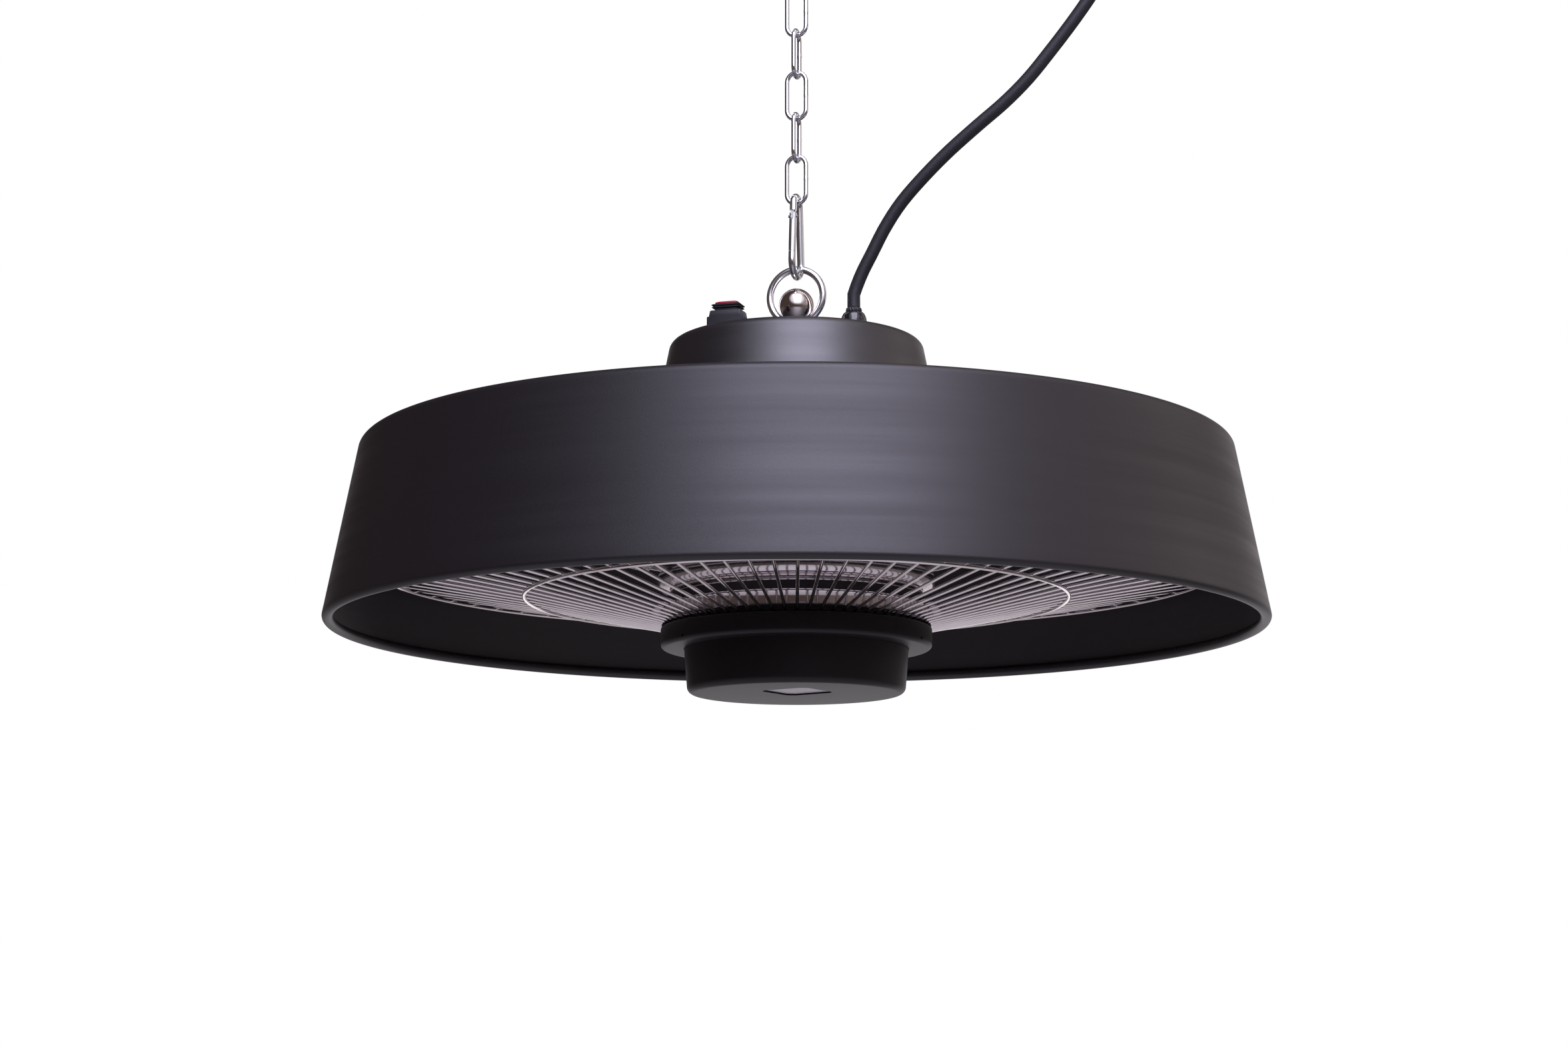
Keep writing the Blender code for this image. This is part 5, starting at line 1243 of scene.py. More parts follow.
@dataclass
class BallStud:
    """The polished ball on its neck, bored through for the ring."""

    shank_radius: float = 0.0050
    shank_length: float = 0.0200
    collar_radius: float = 0.0095
    collar_height: float = 0.0032
    neck_radius: float = 0.0062
    ball_radius: float = 0.0115
    ball_height: float = 0.2089
    bore_slack: float = 0.0008
    chamfer: float = 0.0004
    collar_edge: float = 0.0006

    def build(self) -> None:
        """Turns the stud in one profile and cuts the flared bore: radius = wire + slack + x^2 / 2R."""
        foot = CAP_SEAT - self.shank_length
        collar = CAP_SEAT + self.collar_height
        wide, neck = self.collar_radius, self.neck_radius
        chamfer, edge = self.chamfer, self.collar_edge
        meet = math.asin(neck / self.ball_radius)
        ball = arc((0, self.ball_height), self.ball_radius, meet - math.pi / 2, math.pi / 2, 48)
        ball[-1, 0] = 0
        profile = np.vstack([
            [0, foot], [self.shank_radius, foot], [self.shank_radius, CAP_SEAT], [wide - chamfer, CAP_SEAT],
            [wide, CAP_SEAT + chamfer], [wide, collar - edge], [wide - edge, collar],
            [neck + edge, collar], [neck, collar + edge], ball])
        stud = add_piece("polished_stud", revolve(profile, 72, False), "nickel", "ball_stud")
        reach = self.ball_radius + 0.002
        x = np.linspace(-reach, reach, 21)
        radius = RING_WIRE + self.bore_slack + x * x / (2 * RING_RADIUS)
        flare = np.vstack([[0, -reach], np.column_stack([radius, x]), [0, reach]]) + [0, LEVEL]
        skin = revolve(flare, 40, False)
        points = skin.points[:, [2, 1, 0]] * [1, 1, -1] + [0, 0, BORE_HEIGHT - LEVEL]
        carve(stud, Skin(points, skin.faces))


# The shade and the cap


@dataclass
class Shade:
    """The tapered shade with its rolled rim, and the cap on it."""

    rim_radius: float = 0.3000
    bead_radius: float = 0.0035
    bead_start: float = FULL_TURN + math.radians(12)
    bead_seam: float = math.radians(65)
    height: float = 0.1110
    wall: float = 0.0015
    taper: float = math.radians(10.7)
    edge: float = 0.0055
    cap_base: float = 0.1113
    cap_top: float = 0.1840
    cap_top_radius: float = 0.0815
    cap_taper: float = math.radians(11.0)
    cap_edge: float = 0.0070
    stud_hole: float = 0.0053
    gland_hole: float = 0.0063
    switch_hole: tuple[float, float, float] = (0.0196, 0.0134, 0.0003)
    overcut: float = 0.0020

    def build(self) -> None:
        """Turns the shade and the cap from closed profiles."""
        slope = math.tan(self.taper)
        sheet = self.wall / math.cos(self.taper)
        inner_top = self.height - self.wall
        rim, bead_top = self.rim_radius, 2 * self.bead_radius
        middle = (rim - self.bead_radius, 0)
        bead = arc(middle, self.bead_radius, self.bead_start, self.bead_seam, 30)
        foot = rim - slope * bead[-1, 1] - sheet
        upper = rounded([
            (foot, bead[-1, 1], 0),
            (rim - slope * inner_top - sheet, inner_top, self.edge - self.wall),
            (TUBE_HOLE, inner_top, 0),
            (TUBE_HOLE, self.height, 0),
            (rim - slope * self.height, self.height, self.edge),
            (rim - slope * bead_top, bead_top, 0)], 8)
        profile = np.vstack([upper, bead[:-1]])
        add_piece("shade_shell", revolve(profile, 288), "powder_black", "shade", sharp=50)
        self.cap()

    def cap(self) -> None:
        """The cap's wall and top plate, with holes for the stud, the switch and the gland."""
        slope = math.tan(self.cap_taper)
        foot = self.cap_top_radius + slope * (self.cap_top - self.cap_base)
        sheet = self.wall / math.cos(self.cap_taper)
        under = self.cap_top - self.wall
        profile = rounded([
            (foot - sheet, self.cap_base, 0),
            (foot, self.cap_base, 0),
            (self.cap_top_radius, self.cap_top, self.cap_edge),
            (self.stud_hole, self.cap_top, 0),
            (self.stud_hole, under, 0),
            (self.cap_top_radius - sheet + slope * self.wall, under, self.cap_edge - self.wall)], 8)
        cap = add_piece("cap_shell", revolve(profile, 192), "cap_black_painted_highlight", "cap", sharp=50)
        low, high = under - self.overcut, self.cap_top + self.overcut
        carve(cap, bar((GLAND_X, 0, low - LEVEL), (GLAND_X, 0, high - LEVEL), self.gland_hole, 40))
        carve(cap, loft([box_ring(*self.switch_hole, z) for z in (low, high)], SWITCH_PLACE))


@dataclass
class Grille:
    """Radial wires on a middle and an outer ring."""

    count: int = 72
    wire_radius: float = 0.0011
    hoop_wire: float = 0.0013
    inner_radius: float = 0.0850
    inner_height: float = -0.0010
    middle_radius: float = 0.1738
    middle_height: float = 0.0168
    outer_radius: float = 0.2720
    outer_height: float = 0.0340
    knee: tuple[tuple[float, float], ...] = (
        (-0.0022, 0.0006), (-0.0008, 0.0001), (0.0010, 0.0003), (0.0050, 0.0014))
    middle_shift: tuple[float, float] = (0.0, 0.0012)
    outer_shift: tuple[float, float] = (-0.0014, 0.0010)
    middle_hoop_shift: tuple[float, float] = (0.0, -0.0004)
    outer_hoop_shift: tuple[float, float] = (-0.0004, -0.0006)

    def build(self) -> None:
        """Sweeps one wire along (r, z) and repeats it round the axis by turning its points."""
        middle_ring = np.array([self.middle_radius, self.middle_height])
        outer_ring = np.array([self.outer_radius, self.outer_height])
        knee = np.array([self.inner_radius, self.inner_height]) + np.array(self.knee)
        middle, outer = middle_ring + self.middle_shift, outer_ring + self.outer_shift
        run = np.vstack([knee, between(knee[-1], middle, 7)[1:], between(middle, outer, 7)[1:]])
        one = wire(run, Plane.ACROSS, self.wire_radius, 10)
        angles = (np.arange(self.count) + 0.5) * FULL_TURN / self.count
        zero = np.zeros_like(angles)
        turns = np.stack([
            np.stack([np.cos(angles), -np.sin(angles), zero], axis=-1),
            np.stack([np.sin(angles), np.cos(angles), zero], axis=-1),
            np.tile([0.0, 0.0, 1.0], (self.count, 1))], axis=1)
        points = np.einsum("nij,pj->npi", turns, one.points).reshape(-1, 3)
        faces = [
            [corner + number * len(one.points) for corner in face]
            for number in range(self.count) for face in one.faces]
        hoops = self.hoop(middle_ring + self.middle_hoop_shift)
        hoops = hoops + self.hoop(outer_ring + self.outer_hoop_shift)
        add_piece("grille_wires", Skin(points, faces) + hoops, "wire_chrome", "grille")

    def hoop(self, middle: Array) -> Skin:
        """A level ring of round wire, from the radius and height of its middle."""
        return revolve(arc(middle, self.hoop_wire, 0, FULL_TURN, 14)[:-1], 180)


@dataclass
class Reflector:
    """The spun dish and the core with its rolled bulge."""

    dish_top: float = 0.0903
    dish_wall: float = 0.0010
    dish_lip: float = 0.0045
    dish_curve: tuple[tuple[float, float], ...] = (
        (0.0900, 0.0), (0.1350, 0.0022), (0.1900, -0.0040), (0.2400, -0.0170))
    core_top: float = 0.0890
    core_foot: float = 0.0021
    core_radius: float = 0.0825
    core_wall: float = 0.0010
    bead_radius: float = 0.0068
    bead_height: float = 0.0272
    bead_span: tuple[float, float] = (math.radians(-62), math.radians(75))

    def build(self) -> None:
        """Turns the dish and the core."""
        self.dish()
        self.core()

    def dish(self) -> None:
        """The dish: flat, then a cubic curve through its stations, as a thin wall with a lip turned down."""
        stations = np.array(self.dish_curve)
        radii = np.concatenate([[TUBE_HOLE], np.linspace(stations[0, 0], stations[-1, 0], 26)])
        curve = np.polyval(np.polyfit(stations[:, 0], stations[:, 1], 3), radii[2:])
        upper = np.column_stack([radii, self.dish_top + np.concatenate([[0, 0], curve])])
        lip = upper[-1] - np.array([0, self.dish_lip])
        lower = upper[::-1] - np.array([0, self.dish_wall])
        lower[0, 0] -= self.dish_wall
        profile = np.vstack([upper, lip, lip - np.array([self.dish_wall, 0]), lower])
        add_piece("dish_sheet", revolve(profile, 144), "aluminium", "reflector_dish")

    def core(self) -> None:
        """The core: a plain band with a ridge, a groove, the bulge, and a wall up to the dish."""
        side, top, wall = self.core_radius, self.core_top, self.core_wall
        bulge = arc((side, self.bead_height), self.bead_radius, *self.bead_span, 22)
        outer = np.vstack([
            [side, self.core_foot], [side + 0.0004, 0.0098], [side + 0.0009, 0.0104], [side + 0.0009, 0.0110],
            [side + 0.0003, 0.0116], [side, 0.0172], [side - 0.0012, 0.0180], [side - 0.0014, 0.0200],
            bulge, [0.0804, 0.0352], [0.0784, 0.0390], [0.0780, top - 0.0040],
            [0.0769, top - 0.0012], [0.0740, top], [TUBE_HOLE, top]])
        inner = outer - np.array([wall, 0.0])
        inner[-2:] = [[0.0735, top - wall], [TUBE_HOLE, top - wall]]
        profile = np.vstack([outer, inner[::-1]])
        add_piece("core_sheet", revolve(profile, 192), "core_aluminium", "reflector_core")


@dataclass
class Lamp:
    """The open ring lamp with its crinkled end pieces."""

    radius: float = 0.1130
    tube: float = 0.0055
    height: float = 0.0500
    gap: float = math.radians(24)
    end_run: tuple[float, float] = (0.0003, 0.0200)
    end_radius: float = 0.0076
    rib_depth: float = 0.0010
    tip_radius: float = 0.0068

    def build(self) -> None:
        """Sweeps the tube, then lays a cylinder with pinched ribs on each end."""
        angles = np.linspace(math.pi + self.gap / 2, 3 * math.pi - self.gap / 2, 160)
        path = level_ring(self.radius, angles, self.height)
        add_piece("lamp_glass", sweep(path, (0, 0, 1), self.tube, 20), "quartz", "lamp_tube")
        for number, (tip, inner) in enumerate(((path[0], path[1]), (path[-1], path[-2])), 1):
            along = (tip - inner) / np.linalg.norm(tip - inner)
            run = np.linspace(*self.end_run, 21)
            radius = self.end_radius - self.rib_depth * (np.arange(21) % 4 == 0)
            radius[[0, -1]] = self.tip_radius
            skin = sweep(tip + along * run[:, None], (0, 0, 1), radius, 28)
            add_piece("lamp_socket_%d" % number, skin, "ceramic", "lamp_end_%d" % number)


# The hub


@dataclass
class Hub:
    """The black hub under the lamp: pan, flange, drum, receiver window and grub screws.

    A screw's hole, bar and socket are each the start and end, from the axis, and the radius.
    """

    top: float = -0.0025
    wall: float = 0.0020
    pan_radius: float = 0.0835
    pan_gap: float = 0.0003
    pan_height: float = 0.0040
    pan_wall: float = 0.0012
    flange_radius: float = 0.0866
    flange_foot: float = -0.0160
    drum_radius: float = 0.0716
    drum_gap: float = 0.0003
    drum_rise: float = 0.0090
    foot_radius: float = 0.0694
    foot: float = -0.0445
    window_place: tuple[float, float] = (0.0048, -0.0134)
    window_size: float = 0.0350
    window_turn: float = math.radians(-17)
    window_corner: float = 0.0040
    window_overcut: float = 0.0020
    lens_slack: float = 0.0012
    lens_shelf: float = 0.0060
    lens_rise: float = 0.0009
    lens_edge: tuple[float, float] = (0.0010, 0.0005)
    lens_gap: float = 0.0003
    lens_wall: float = 0.0012
    screw_count: int = 3
    screw_turn: float = math.radians(-8)
    screw_drop: float = 0.0105
    screw_hole: tuple[float, float, float] = (0.0820, 0.0900, 0.0010)
    screw_bar: tuple[float, float, float] = (0.0848, 0.0860, 0.0008)
    screw_socket: tuple[float, float, float] = (0.0855, 0.0880, 0.0004)
    screw_edge: float = 0.0001

    def build(self) -> None:
        """Turns the pan, flange and drum, opens the window and sets the lens and screws."""
        self.pan()
        self.flange()
        self.drum()
        self.lens()
        self.screws()

    def pan(self) -> None:
        """The black pan between hub and core, with a small rolled edge."""
        low = self.top + self.pan_gap
        high = low + self.pan_height
        side, wall = self.pan_radius, self.pan_wall
        profile = rounded([
            (TUBE_HOLE, high, 0), (TUBE_HOLE, high - wall, 0), (side - wall, high - wall, 0.0005),
            (side - wall, low, 0), (side, low, 0.0004), (side, high, 0.0010)], 4)
        add_piece("pan_sheet", revolve(profile, 160), "hub_black", "hub_pan")

    def flange(self) -> None:
        """The flange: a turned ring with eased edges and three screw holes."""
        inner, opening = self.flange_radius - self.wall, self.drum_radius + self.drum_gap
        under, shelf = self.top - self.wall, self.flange_foot + self.wall
        profile = rounded([
            (TUBE_HOLE, self.top, 0), (TUBE_HOLE, under, 0), (inner, under, 0), (inner, shelf, 0),
            (opening, shelf, 0), (opening, self.flange_foot, 0),
            (self.flange_radius, self.flange_foot, 0.0030), (self.flange_radius, self.top, 0.0015)], 7)
        flange = add_piece("flange_ring", revolve(profile, 192), "hub_black", "hub_flange")
        for number in range(self.screw_count):
            carve(flange, self.spoke(number, *self.screw_hole, 20))

    def spoke(
        self, number: int, start: float, end: float, radius: float, sides: int, edge: float = 0.0
    ) -> Skin:
        """A bar on the line of one grub screw.

        Args:
            number: The screw's number, from nought.
            start: Distance of one end from the axis.
            end: Distance of the other end.
            radius: The bar's radius.
            sides: Number of points round it.
            edge: How far its ends are rounded off.

        Returns:
            The bar's skin.
        """
        angle = self.screw_turn + FULL_TURN * number / self.screw_count
        out = np.array([math.cos(angle), math.sin(angle), 0])
        level = np.array([0, 0, self.top - self.screw_drop - LEVEL])
        return bar(out * start + level, out * end + level, radius, sides, edge)

    def drum(self) -> None:
        """The drum: a turned cup, slightly tapered, with a window cut through its floor."""
        top = self.flange_foot + self.drum_rise
        side, inner, floor = self.drum_radius, self.drum_radius - self.wall, self.foot + self.wall
        profile = rounded([
            (0, self.foot, 0), (self.foot_radius, self.foot, 0.0045), (side, self.flange_foot, 0),
            (side, top, 0), (inner, top, 0), (inner, self.flange_foot, 0),
            (self.foot_radius - self.wall, floor, 0.0025), (0, floor, 0)], 10)
        drum = add_piece("drum_cup", revolve(profile, 192, False), "hub_black", "hub_drum")
        heights = (self.foot - self.window_overcut, floor + self.window_overcut)
        carve(drum, loft([self.window(self.window_size, height) for height in heights]))

    def window(self, size: float, height: float) -> Array:
        """The window's outline: a square with clipped corners, turned and placed.

        Args:
            size: Length of the square's side.
            height: Height above the rim.

        Returns:
            The outline's points.
        """
        half = size / 2
        inside = half - self.window_corner
        corners = np.array([
            (-inside, -half), (inside, -half), (half, -inside), (half, inside),
            (inside, half), (-inside, half), (-half, inside), (-half, -inside)])
        turn = np.array(Matrix.Rotation(self.window_turn, 2))
        flat = corners @ turn.T + np.array(self.window_place)
        return np.column_stack([flat, np.full(8, height - LEVEL)])

    def lens(self) -> None:
        """The pale lens that stands in the window from above, with an eased lower edge."""
        size = self.window_size - self.lens_slack
        low, shelf = self.foot + self.lens_rise, self.foot + self.wall + self.lens_gap
        eased, rise = self.lens_edge
        wide = size + self.lens_shelf
        stages = (
            (size - eased, low), (size, low + rise), (size, shelf),
            (wide, shelf), (wide, shelf + self.lens_wall))
        skin = loft([self.window(*stage) for stage in stages])
        add_piece("receiver_pane", skin, "receiver_lens", "receiver_lens", sharp=25)

    def screws(self) -> None:
        """Grub screws with a hexagon socket, just under the flange's face."""
        for number in range(self.screw_count):
            skin = self.spoke(number, *self.screw_bar, 20, self.screw_edge)
            name, node = "grub_screw_%d" % (number + 1), "hub_screw_%d" % (number + 1)
            screw = add_piece(name, skin, "dark_steel", node)
            carve(screw, self.spoke(number, *self.screw_socket, 6))


# The switch and the gland


@dataclass
class Switch:
    """The stepped switch frame, the pleated rocker cover and the red lens.

    A frame stage is length, width, corner and height over the flange's top. A cover stage is height over the
    step's top, length and width. A lens stage is rise, length and width.
    """

    flange_top: float = 0.1931
    step_top: float = 0.1974
    flange_stages: tuple[tuple[float, ...], ...] = (
        (0.0237, 0.0160, 0.0006, -0.0088), (0.0237, 0.0160, 0.0006, -0.0004), (0.0230, 0.0153, 0.0006, 0.0),
        (0.0215, 0.0138, 0.0006, 0.0), (0.0213, 0.0136, 0.0006, -0.0006), (0.0216, 0.0140, 0.0008, 0.0004),
        (0.0206, 0.0131, 0.0009, 0.0038), (0.0198, 0.0123, 0.0009, 0.0043))
    opening: tuple[float, float, float] = (0.0182, 0.0108, 0.0005)
    opening_run: tuple[float, float] = (0.0010, 0.0020)
    cover_corner: float = 0.0012
    cover_stages: tuple[tuple[float, float, float], ...] = (
        (-0.0051, 0.0148, 0.0090), (0.0004, 0.0148, 0.0090), (0.0014, 0.0150, 0.0092),
        (0.0018, 0.0178, 0.0110), (0.0021, 0.0190, 0.0117), (0.0024, 0.0186, 0.0114),
        (0.0027, 0.0170, 0.0102), (0.0031, 0.0180, 0.0109), (0.0036, 0.0194, 0.0120),
        (0.0039, 0.0192, 0.0118), (0.0043, 0.0180, 0.0106), (0.0045, 0.0164, 0.0090))
    lens_low: float = 0.0048
    lens_corner: float = 0.0014
    lens_crown: float = 0.25
    lens_stages: tuple[tuple[float, float, float], ...] = (
        (0.0, 0.0150, 0.0084), (0.0006, 0.0156, 0.0086), (0.0011, 0.0150, 0.0080),
        (0.0016, 0.0128, 0.0060), (0.0019, 0.0088, 0.0032))

    def build(self) -> None:
        """Lofts the frame, the cover and the lens from rounded rectangles."""
        rings = [box_ring(*size, self.flange_top + rise) for *size, rise in self.flange_stages]
        skin = loft(rings, SWITCH_PLACE)
        bezel = add_piece("switch_bezel", skin, "black_plastic", "switch_frame", sharp=30)
        heights = (CAP_SEAT + self.opening_run[0], self.step_top + self.opening_run[1])
        carve(bezel, loft([box_ring(*self.opening, z) for z in heights], SWITCH_PLACE))
        self.cover()
        self.lens()

    def cover(self) -> None:
        """The rocker's rubber cover, whose two pleats swell and draw in from stage to stage."""
        rings = [
            box_ring(long, wide, self.cover_corner, self.step_top + rise)
            for rise, long, wide in self.cover_stages]
        skin = loft(rings, SWITCH_PLACE)
        add_piece("rocker_cover", skin, "rubber", "switch_rocker", Body.ROCKER.value, sharp=60)

    def lens(self) -> None:
        """The red lens, crowned along its length: height falls with the square of the distance."""
        low = self.step_top + self.lens_low
        half = max(long for _, long, _ in self.lens_stages) / 2
        rings = []
        for rise, long, wide in self.lens_stages:
            ring = box_ring(long, wide, self.lens_corner, low + rise)
            ring[:, 2] -= self.lens_crown * rise * (ring[:, 0] / half) ** 2
            rings.append(ring)
        skin = loft(rings, SWITCH_PLACE)
        add_piece("rocker_lens", skin, "red_lens", "switch_lens", Body.ROCKER.value, sharp=50)


@dataclass
class Gland:
    """The cable gland: hexagon body, domed cap nut and clamping fingers."""

    hex_top: float = 0.1893
    nut_low: float = 0.1896
    nut_hex: float = 0.1951
    nut_top: float = 0.2019
    body_flats: float = 0.0160
    thread: float = 0.0120
    thread_run: float = 0.0110
    flats: float = 0.0170
    dome_top: float = 0.0106
    dome_power: float = 0.52
    chamfer: float = 0.0005
    bore: float = 0.0046
    overcut: float = 0.0010
    teeth: int = 16
    tooth_depth: float = 0.0005
    tooth_slant: float = 60.0
    collet: tuple[tuple[float, float], ...] = (
        (0.0003, 0.0052), (0.0009, 0.0053), (0.0015, 0.0052), (0.0021, 0.0051), (0.0027, 0.0048))

    def hexagon(self, flats: float, height: float, round_share: float) -> Array:
        """A hexagon blended with a circle at one height.

        The reach at angle a is the hexagon's, h / cos(a mod 60 - 30), and h, mixed by the share.

        Args:
            flats: Distance across the flats.
            height: Height above the rim.
            round_share: Nought for a hexagon, one for a circle.

        Returns:
            The ring's points.
        """
        angles = np.arange(72) * FULL_TURN / 72
        inside = np.mod(angles + math.pi / 6, math.pi / 3) - math.pi / 6
        reach = flats / 2 * ((1 - round_share) / np.cos(inside) + round_share)
        return level_ring(reach, angles, height)

    def build(self) -> None:
        """Lofts the body, the nut and the fingers round the cable."""
        self.base()
        self.nut()
        self.fingers()

    def base(self) -> None:
        """The gland's body: a round thread under a chamfered hexagon, bored for the cable."""
        across, chamfer = self.body_flats, self.chamfer
        rings = (
            (self.thread, CAP_SEAT - self.thread_run, 1.0), (self.thread, CAP_SEAT, 1.0),
            (across - 0.0004, CAP_SEAT, 0.6), (across, CAP_SEAT + chamfer, 0.0),
            (across, self.hex_top - chamfer, 0.0), (across - 0.0006, self.hex_top, 0.6))
        skin = loft([self.hexagon(*ring) for ring in rings], (GLAND_X, 0, 0))
        base = add_piece("gland_base", skin, "gloss_black", "gland_body", sharp=25)
        low = CAP_SEAT - self.thread_run - self.overcut - LEVEL
        high = self.hex_top + self.overcut - LEVEL
        carve(base, bar((GLAND_X, 0, low), (GLAND_X, 0, high), self.bore, 40))

    def nut(self) -> None:
        """The cap nut: a hexagon, then a dome whose width falls as a power of the cosine of its rise."""
        flats, corner = self.flats, self.nut_hex
        rings = [
            (flats - 0.0010, self.nut_low, 0.6), (flats, self.nut_low + self.chamfer, 0.0),
            (flats, corner - 0.0007, 0.0), (flats - 0.0002, corner, 0.75)]
        for step in np.linspace(0, 1, 12)[1:]:
            share = math.cos(step * math.pi / 2) ** self.dome_power
            size = self.dome_top + (flats - self.dome_top) * share
            rings.append((size, corner + step * (self.nut_top - corner), 1.0))
        skin = loft([self.hexagon(*ring) for ring in rings], (GLAND_X, 0, 0))
        add_piece("gland_dome", skin, "gloss_black", "gland_nut", sharp=25)

    def fingers(self) -> None:
        """The clamping fingers: a ring whose radius dips between slanted teeth as a squared cosine."""
        angles = np.arange(96) * FULL_TURN / 96
        rings = []
        for rise, size in self.collet:
            wave = 0.5 + 0.5 * np.cos(self.teeth * (angles + self.tooth_slant * rise))
            rings.append(level_ring(size - self.tooth_depth * wave ** 2, angles, self.nut_top + rise))
        add_piece("gland_collet", loft(rings, (GLAND_X, 0, 0)), "black_plastic", "gland_fingers", sharp=60)


@dataclass
class HiddenPieces:
    """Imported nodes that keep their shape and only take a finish."""

    finishes: tuple[tuple[str, tuple[str, ...]], ...] = (
        ("steel", (
            "stud_nut", "centre_tube", "tube_nut_upper", "tube_nut_lower", "tube_nut_hub", "shield_spacer",
            "lamp_bracket", "lamp_clip_1", "lamp_clip_2", "grille_bracket_1", "grille_bracket_2",
            "grille_bracket_3")),
        ("aluminium", ("heat_shield",)),
        ("board", ("control_board",)),
        ("black_plastic", ("gland_locknut", "switch_body")),
        ("grey_plastic", ("terminal_block",)),
    )

    def build(self) -> None:
        """Dresses each node."""
        for finish, names in self.finishes:
            for name in names:
                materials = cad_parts[name].data.materials
                materials.clear()
                materials.append(Finishes.get(finish))
                LOG.info("node %s in %s", name, finish)


# Camera, floor and light


def aim(azimuth: float, elevation: float) -> Vector:
    """Unit direction, in degrees to the right of the camera's side and above the horizon.

    Args:
        azimuth: Degrees to the right.
        elevation: Degrees above the horizon.

    Returns:
        The direction away from the heater.
    """
    around = math.radians(azimuth) + CAMERA_TURN
    rise = math.radians(elevation)
    return Vector((math.sin(around) * math.cos(rise), -math.cos(around) * math.cos(rise), math.sin(rise)))


@dataclass
class Surround:
    """White to the camera; in reflections, a backdrop behind, a pale sweep under it and a dim room.

    The pairs are where a part's smooth step starts and ends, and the angles are degrees.
    """

    backdrop: tuple[float, float] = (0.80, 0.99)
    backdrop_lean: float = 0.10
    backdrop_colour: Colour = (1.0, 0.95, 0.99)
    sweep: tuple[float, float] = (-0.20, 0.50)
    sweep_colour: Colour = (0.12, 0.11, 0.11)
    horizon: tuple[float, float] = (0.06, -0.06)
    room_colour: Colour = (0.058, 0.042, 0.038)
    wing: tuple[float, float] = (0.1, 0.9)
    wing_drop: float = 0.7
    wing_colour: Colour = (0.36, 0.30, 0.29)
    glow: tuple[float, float] = (0.66, 0.86)
    glow_place: tuple[float, float] = (7, 43)
    glow_colour: Colour = (0.90, 0.88, 1.00)
    strip: tuple[float, float] = (0.20, 0.12)
    strip_azimuth: float = 114
    pale_colour: Colour = (0.80, 0.72, 0.70)
    ceiling: tuple[float, float] = (0.82, 0.94)
    ceiling_side: tuple[float, float] = (-0.15, 0.25)
    fill_colour: Colour = (0.23, 0.21, 0.23)

    def build(self) -> None:
        """Works out the colour of each direction d, part by part.

        Each part's share is a smooth step: the backdrop's of d . back + lean (d . right), the sweep's of
        d . back under the horizon, the right wing's of d . right, the glow's of the nearness to a point high
        in front, the strip's of the angle round the heater, and the ceiling's of the height and d . right.
        """
        world = bpy.data.worlds.new("surround")
        bpy.context.scene.world = world
        graph = Graph(world)
        graph.tree.nodes.clear()
        direction = graph.node("ShaderNodeTexCoord", {}, {}, "Generated")
        up = graph.node("ShaderNodeSeparateXYZ", {}, {0: direction}, "Z")
        back = graph.dot(direction, aim(180, 0))
        side = graph.dot(direction, aim(90, 0))
        near = graph.dot(direction, aim(*self.glow_place))
        around = graph.math("ARCTAN2", side, 0 - back)
        off_strip = graph.math("ABSOLUTE", around - math.radians(self.strip_azimuth))
        under = graph.step(up, *self.horizon)
        wing = graph.step(side, *self.wing) * (1 - under * self.wing_drop)
        ceiling = graph.step(up, *self.ceiling) * graph.step(side, *self.ceiling_side)
        room = graph.mix(wing, self.room_colour, self.wing_colour)
        room = graph.mix(graph.step(near, *self.glow), room, self.glow_colour)
        room = graph.mix(graph.step(off_strip, *self.strip) * (1 - under), room, self.pale_colour)
        room = graph.mix(ceiling, room, self.pale_colour)
        swept = graph.mix(graph.step(back, *self.sweep) * under, room, self.sweep_colour)
        drop = graph.step(back + side * self.backdrop_lean, *self.backdrop)
        shown = graph.mix(drop, swept, self.backdrop_colour)
        mirrored = graph.math("MAXIMUM", graph.ray("Glossy"), graph.ray("Transmission"))
        colour = graph.mix(mirrored, self.fill_colour, shown)
        colour = graph.mix(graph.ray("Camera"), colour, (1.0, 1.0, 1.0))
        light = graph.node("ShaderNodeBackground", {}, {"Color": colour, "Strength": 1.0})
        graph.node("ShaderNodeOutputWorld", {}, {"Surface": light}, None)


@dataclass
class SoftLamp:
    """A soft rectangular lamp that faces the heater; its power is glow times pi times its area."""

    name: str
    azimuth: float
    elevation: float
    distance: float
    width: float
    height: float
    glow: float
    colour: Colour
    target: float = 0.06

    def build(self) -> None:
        """Makes the lamp and turns its face to the target's height on the axis."""
        back = aim(self.azimuth, self.elevation)
        data = bpy.data.lights.new(self.name, "AREA")
        data.shape = "RECTANGLE"
        data.size, data.size_y = self.width, self.height
        data.energy = self.glow * math.pi * self.width * self.height
        data.color = self.colour
        lamp = link_new(self.name, data)
        place = Vector((0, 0, self.target - LEVEL)) + back * self.distance
        lamp.matrix_world = Matrix.Translation(place) @ back.to_track_quat("Z", "Y").to_matrix().to_4x4()


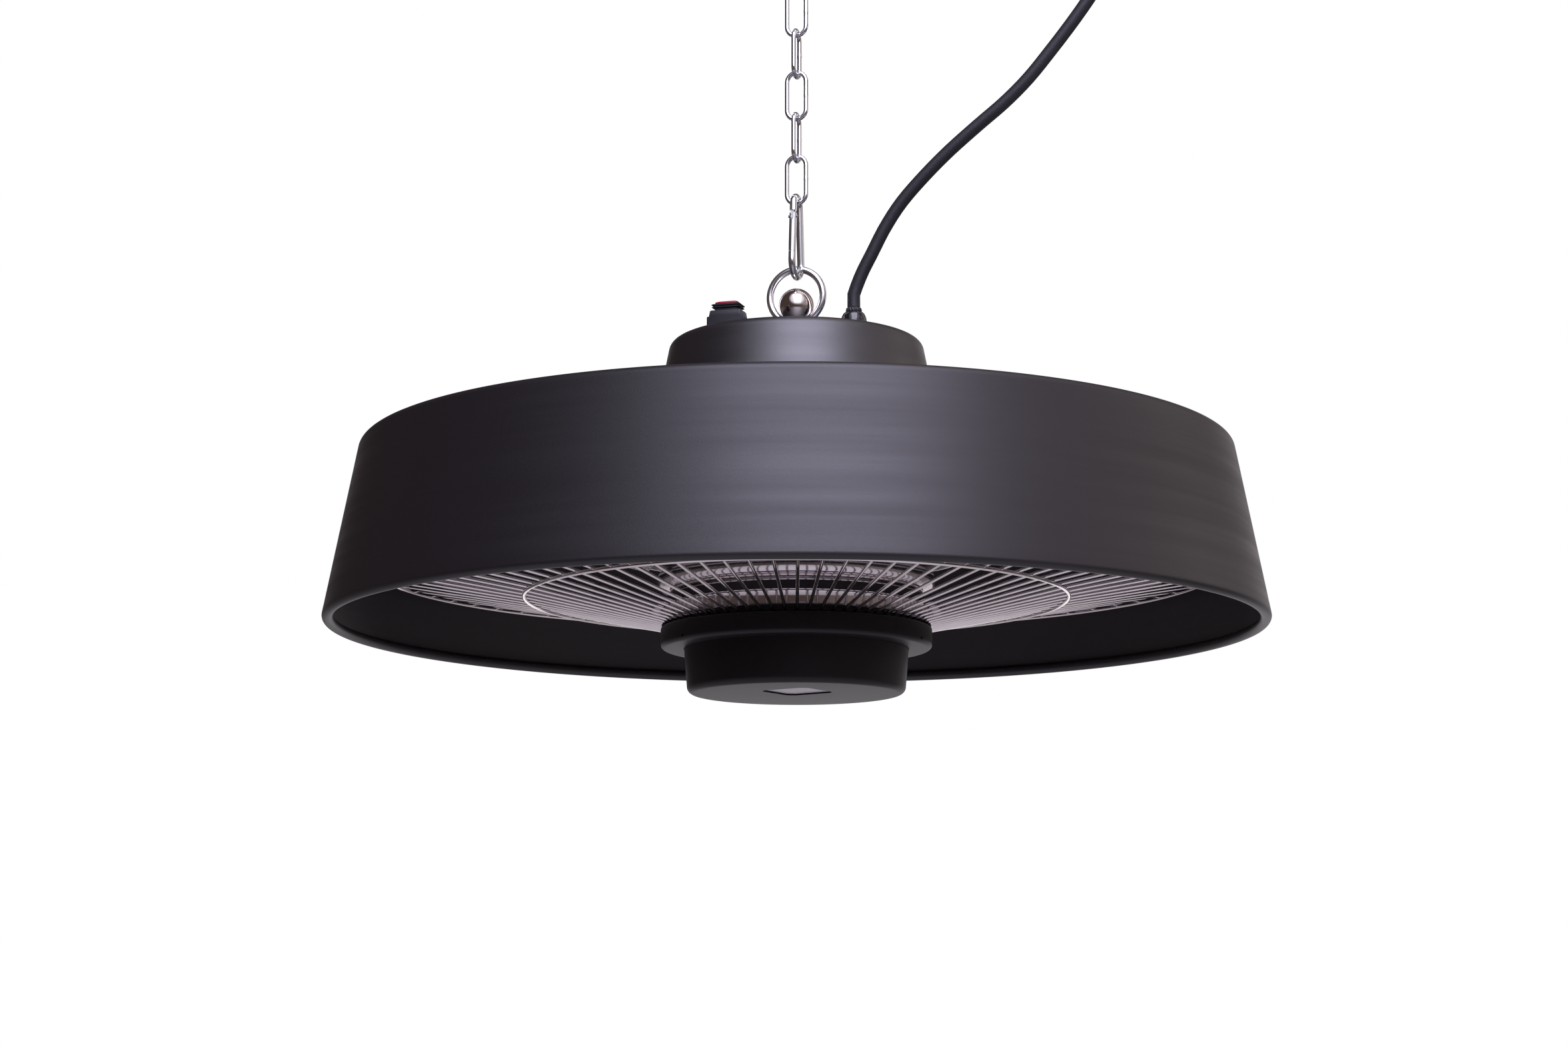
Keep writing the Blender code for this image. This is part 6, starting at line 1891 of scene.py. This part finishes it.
@dataclass
class Studio:
    """The camera of the photograph, a pale floor, a white surround and soft lamps."""

    distance: float = 1.9062
    side: float = 0.0395
    height: float = -0.2526
    yaw: float = -0.0249
    pitch: float = 0.1657
    roll: float = 0.0009
    sensor: float = 36.0
    focal_share: float = 4515.3 / 2353.0
    clip: tuple[float, float] = (0.05, 50.0)
    floor_height: float = -1.60
    floor_radius: float = 2.6
    floor_thickness: float = 0.02
    floor_scale: float = 30.0
    floor_dark: Colour = (0.86, 0.86, 0.86)
    floor_light: Colour = (0.90, 0.90, 0.90)
    floor_in_metal: Colour = (0.085, 0.080, 0.080)
    floor_in_camera: Colour = (0.62, 0.62, 0.61)
    lamps: tuple[SoftLamp, ...] = (
        SoftLamp("key_lamp", 8, 46, 1.35, 0.98, 1.40, 3.95, (0.79, 0.76, 1.0)),
        SoftLamp("right_lamp", 80, 25, 2.4, 0.7, 1.2, 0.36, (1.0, 0.86, 0.90)))

    def camera(self) -> None:
        """Places the camera by its distance, turned with the object, and aims it by yaw, pitch and roll."""
        turn = Matrix.Rotation(CAMERA_TURN, 3, "Z")
        level = math.cos(self.pitch)
        forward = Vector((math.sin(self.yaw) * level, math.cos(self.yaw) * level, math.sin(self.pitch)))
        right = Vector((math.cos(self.yaw), -math.sin(self.yaw), 0))
        up = right.cross(forward)
        tilted_right = right * math.cos(self.roll) + up * math.sin(self.roll)
        tilted_up = up * math.cos(self.roll) - right * math.sin(self.roll)
        axes = Matrix((tilted_right, tilted_up, -forward)).transposed()
        data = bpy.data.cameras.new("photo_camera")
        data.sensor_fit = "HORIZONTAL"
        data.sensor_width = self.sensor
        data.lens = self.sensor * self.focal_share
        data.clip_start, data.clip_end = self.clip
        camera = link_new("photo_camera", data)
        place = turn @ Vector((self.side, -self.distance, self.height))
        place.z -= LEVEL
        camera.matrix_world = Matrix.Translation(place) @ (turn @ axes).to_4x4()
        bpy.context.scene.camera = camera

    def floor(self) -> None:
        """A round pale floor well below the heater, near white to the camera and far darker in metal."""
        radius, foot = self.floor_radius, -self.floor_thickness
        profile = np.array([(0, 0), (radius, 0), (radius, foot), (0, foot)]) + [0, LEVEL + self.floor_height]
        skin = revolve(profile, 96, False)
        mesh = bpy.data.meshes.new("floor")
        mesh.from_pydata(skin.points.tolist(), [], skin.faces)
        floor = link_new("floor", mesh)
        graph = Graph.material("floor")
        speck = graph.noise(graph.place(), self.floor_scale, 3.0)
        glow = graph.mix(graph.ray("Glossy"), (0.0, 0.0, 0.0), self.floor_in_metal)
        glow = graph.mix(graph.ray("Camera"), glow, self.floor_in_camera)
        tone = graph.mix(speck, self.floor_dark, self.floor_light)
        mesh.materials.append(
            graph.dress(Base_Color=tone, Roughness=0.8, Emission_Color=glow, Emission_Strength=1.0))

    def build(self) -> None:
        """Sets the view transform and makes the floor, surround and lamps."""
        bpy.context.scene.view_settings.view_transform = "Standard"
        self.floor()
        Surround().build()
        for lamp in self.lamps:
            lamp.build()


def main() -> None:
    """Builds the camera and the lead first, then the heater from the ceiling down."""
    studio = Studio()
    studio.camera()
    parts: list[Any] = [
        MainsLead(), Suspension(), BallStud(), Shade(), Grille(), Reflector(), Lamp(), Hub(), Switch(),
        Gland(), HiddenPieces()]
    for part in parts:
        LOG.info("building %s", type(part).__name__)
        part.build()
    studio.build()


if __name__ == "__main__":
    main()
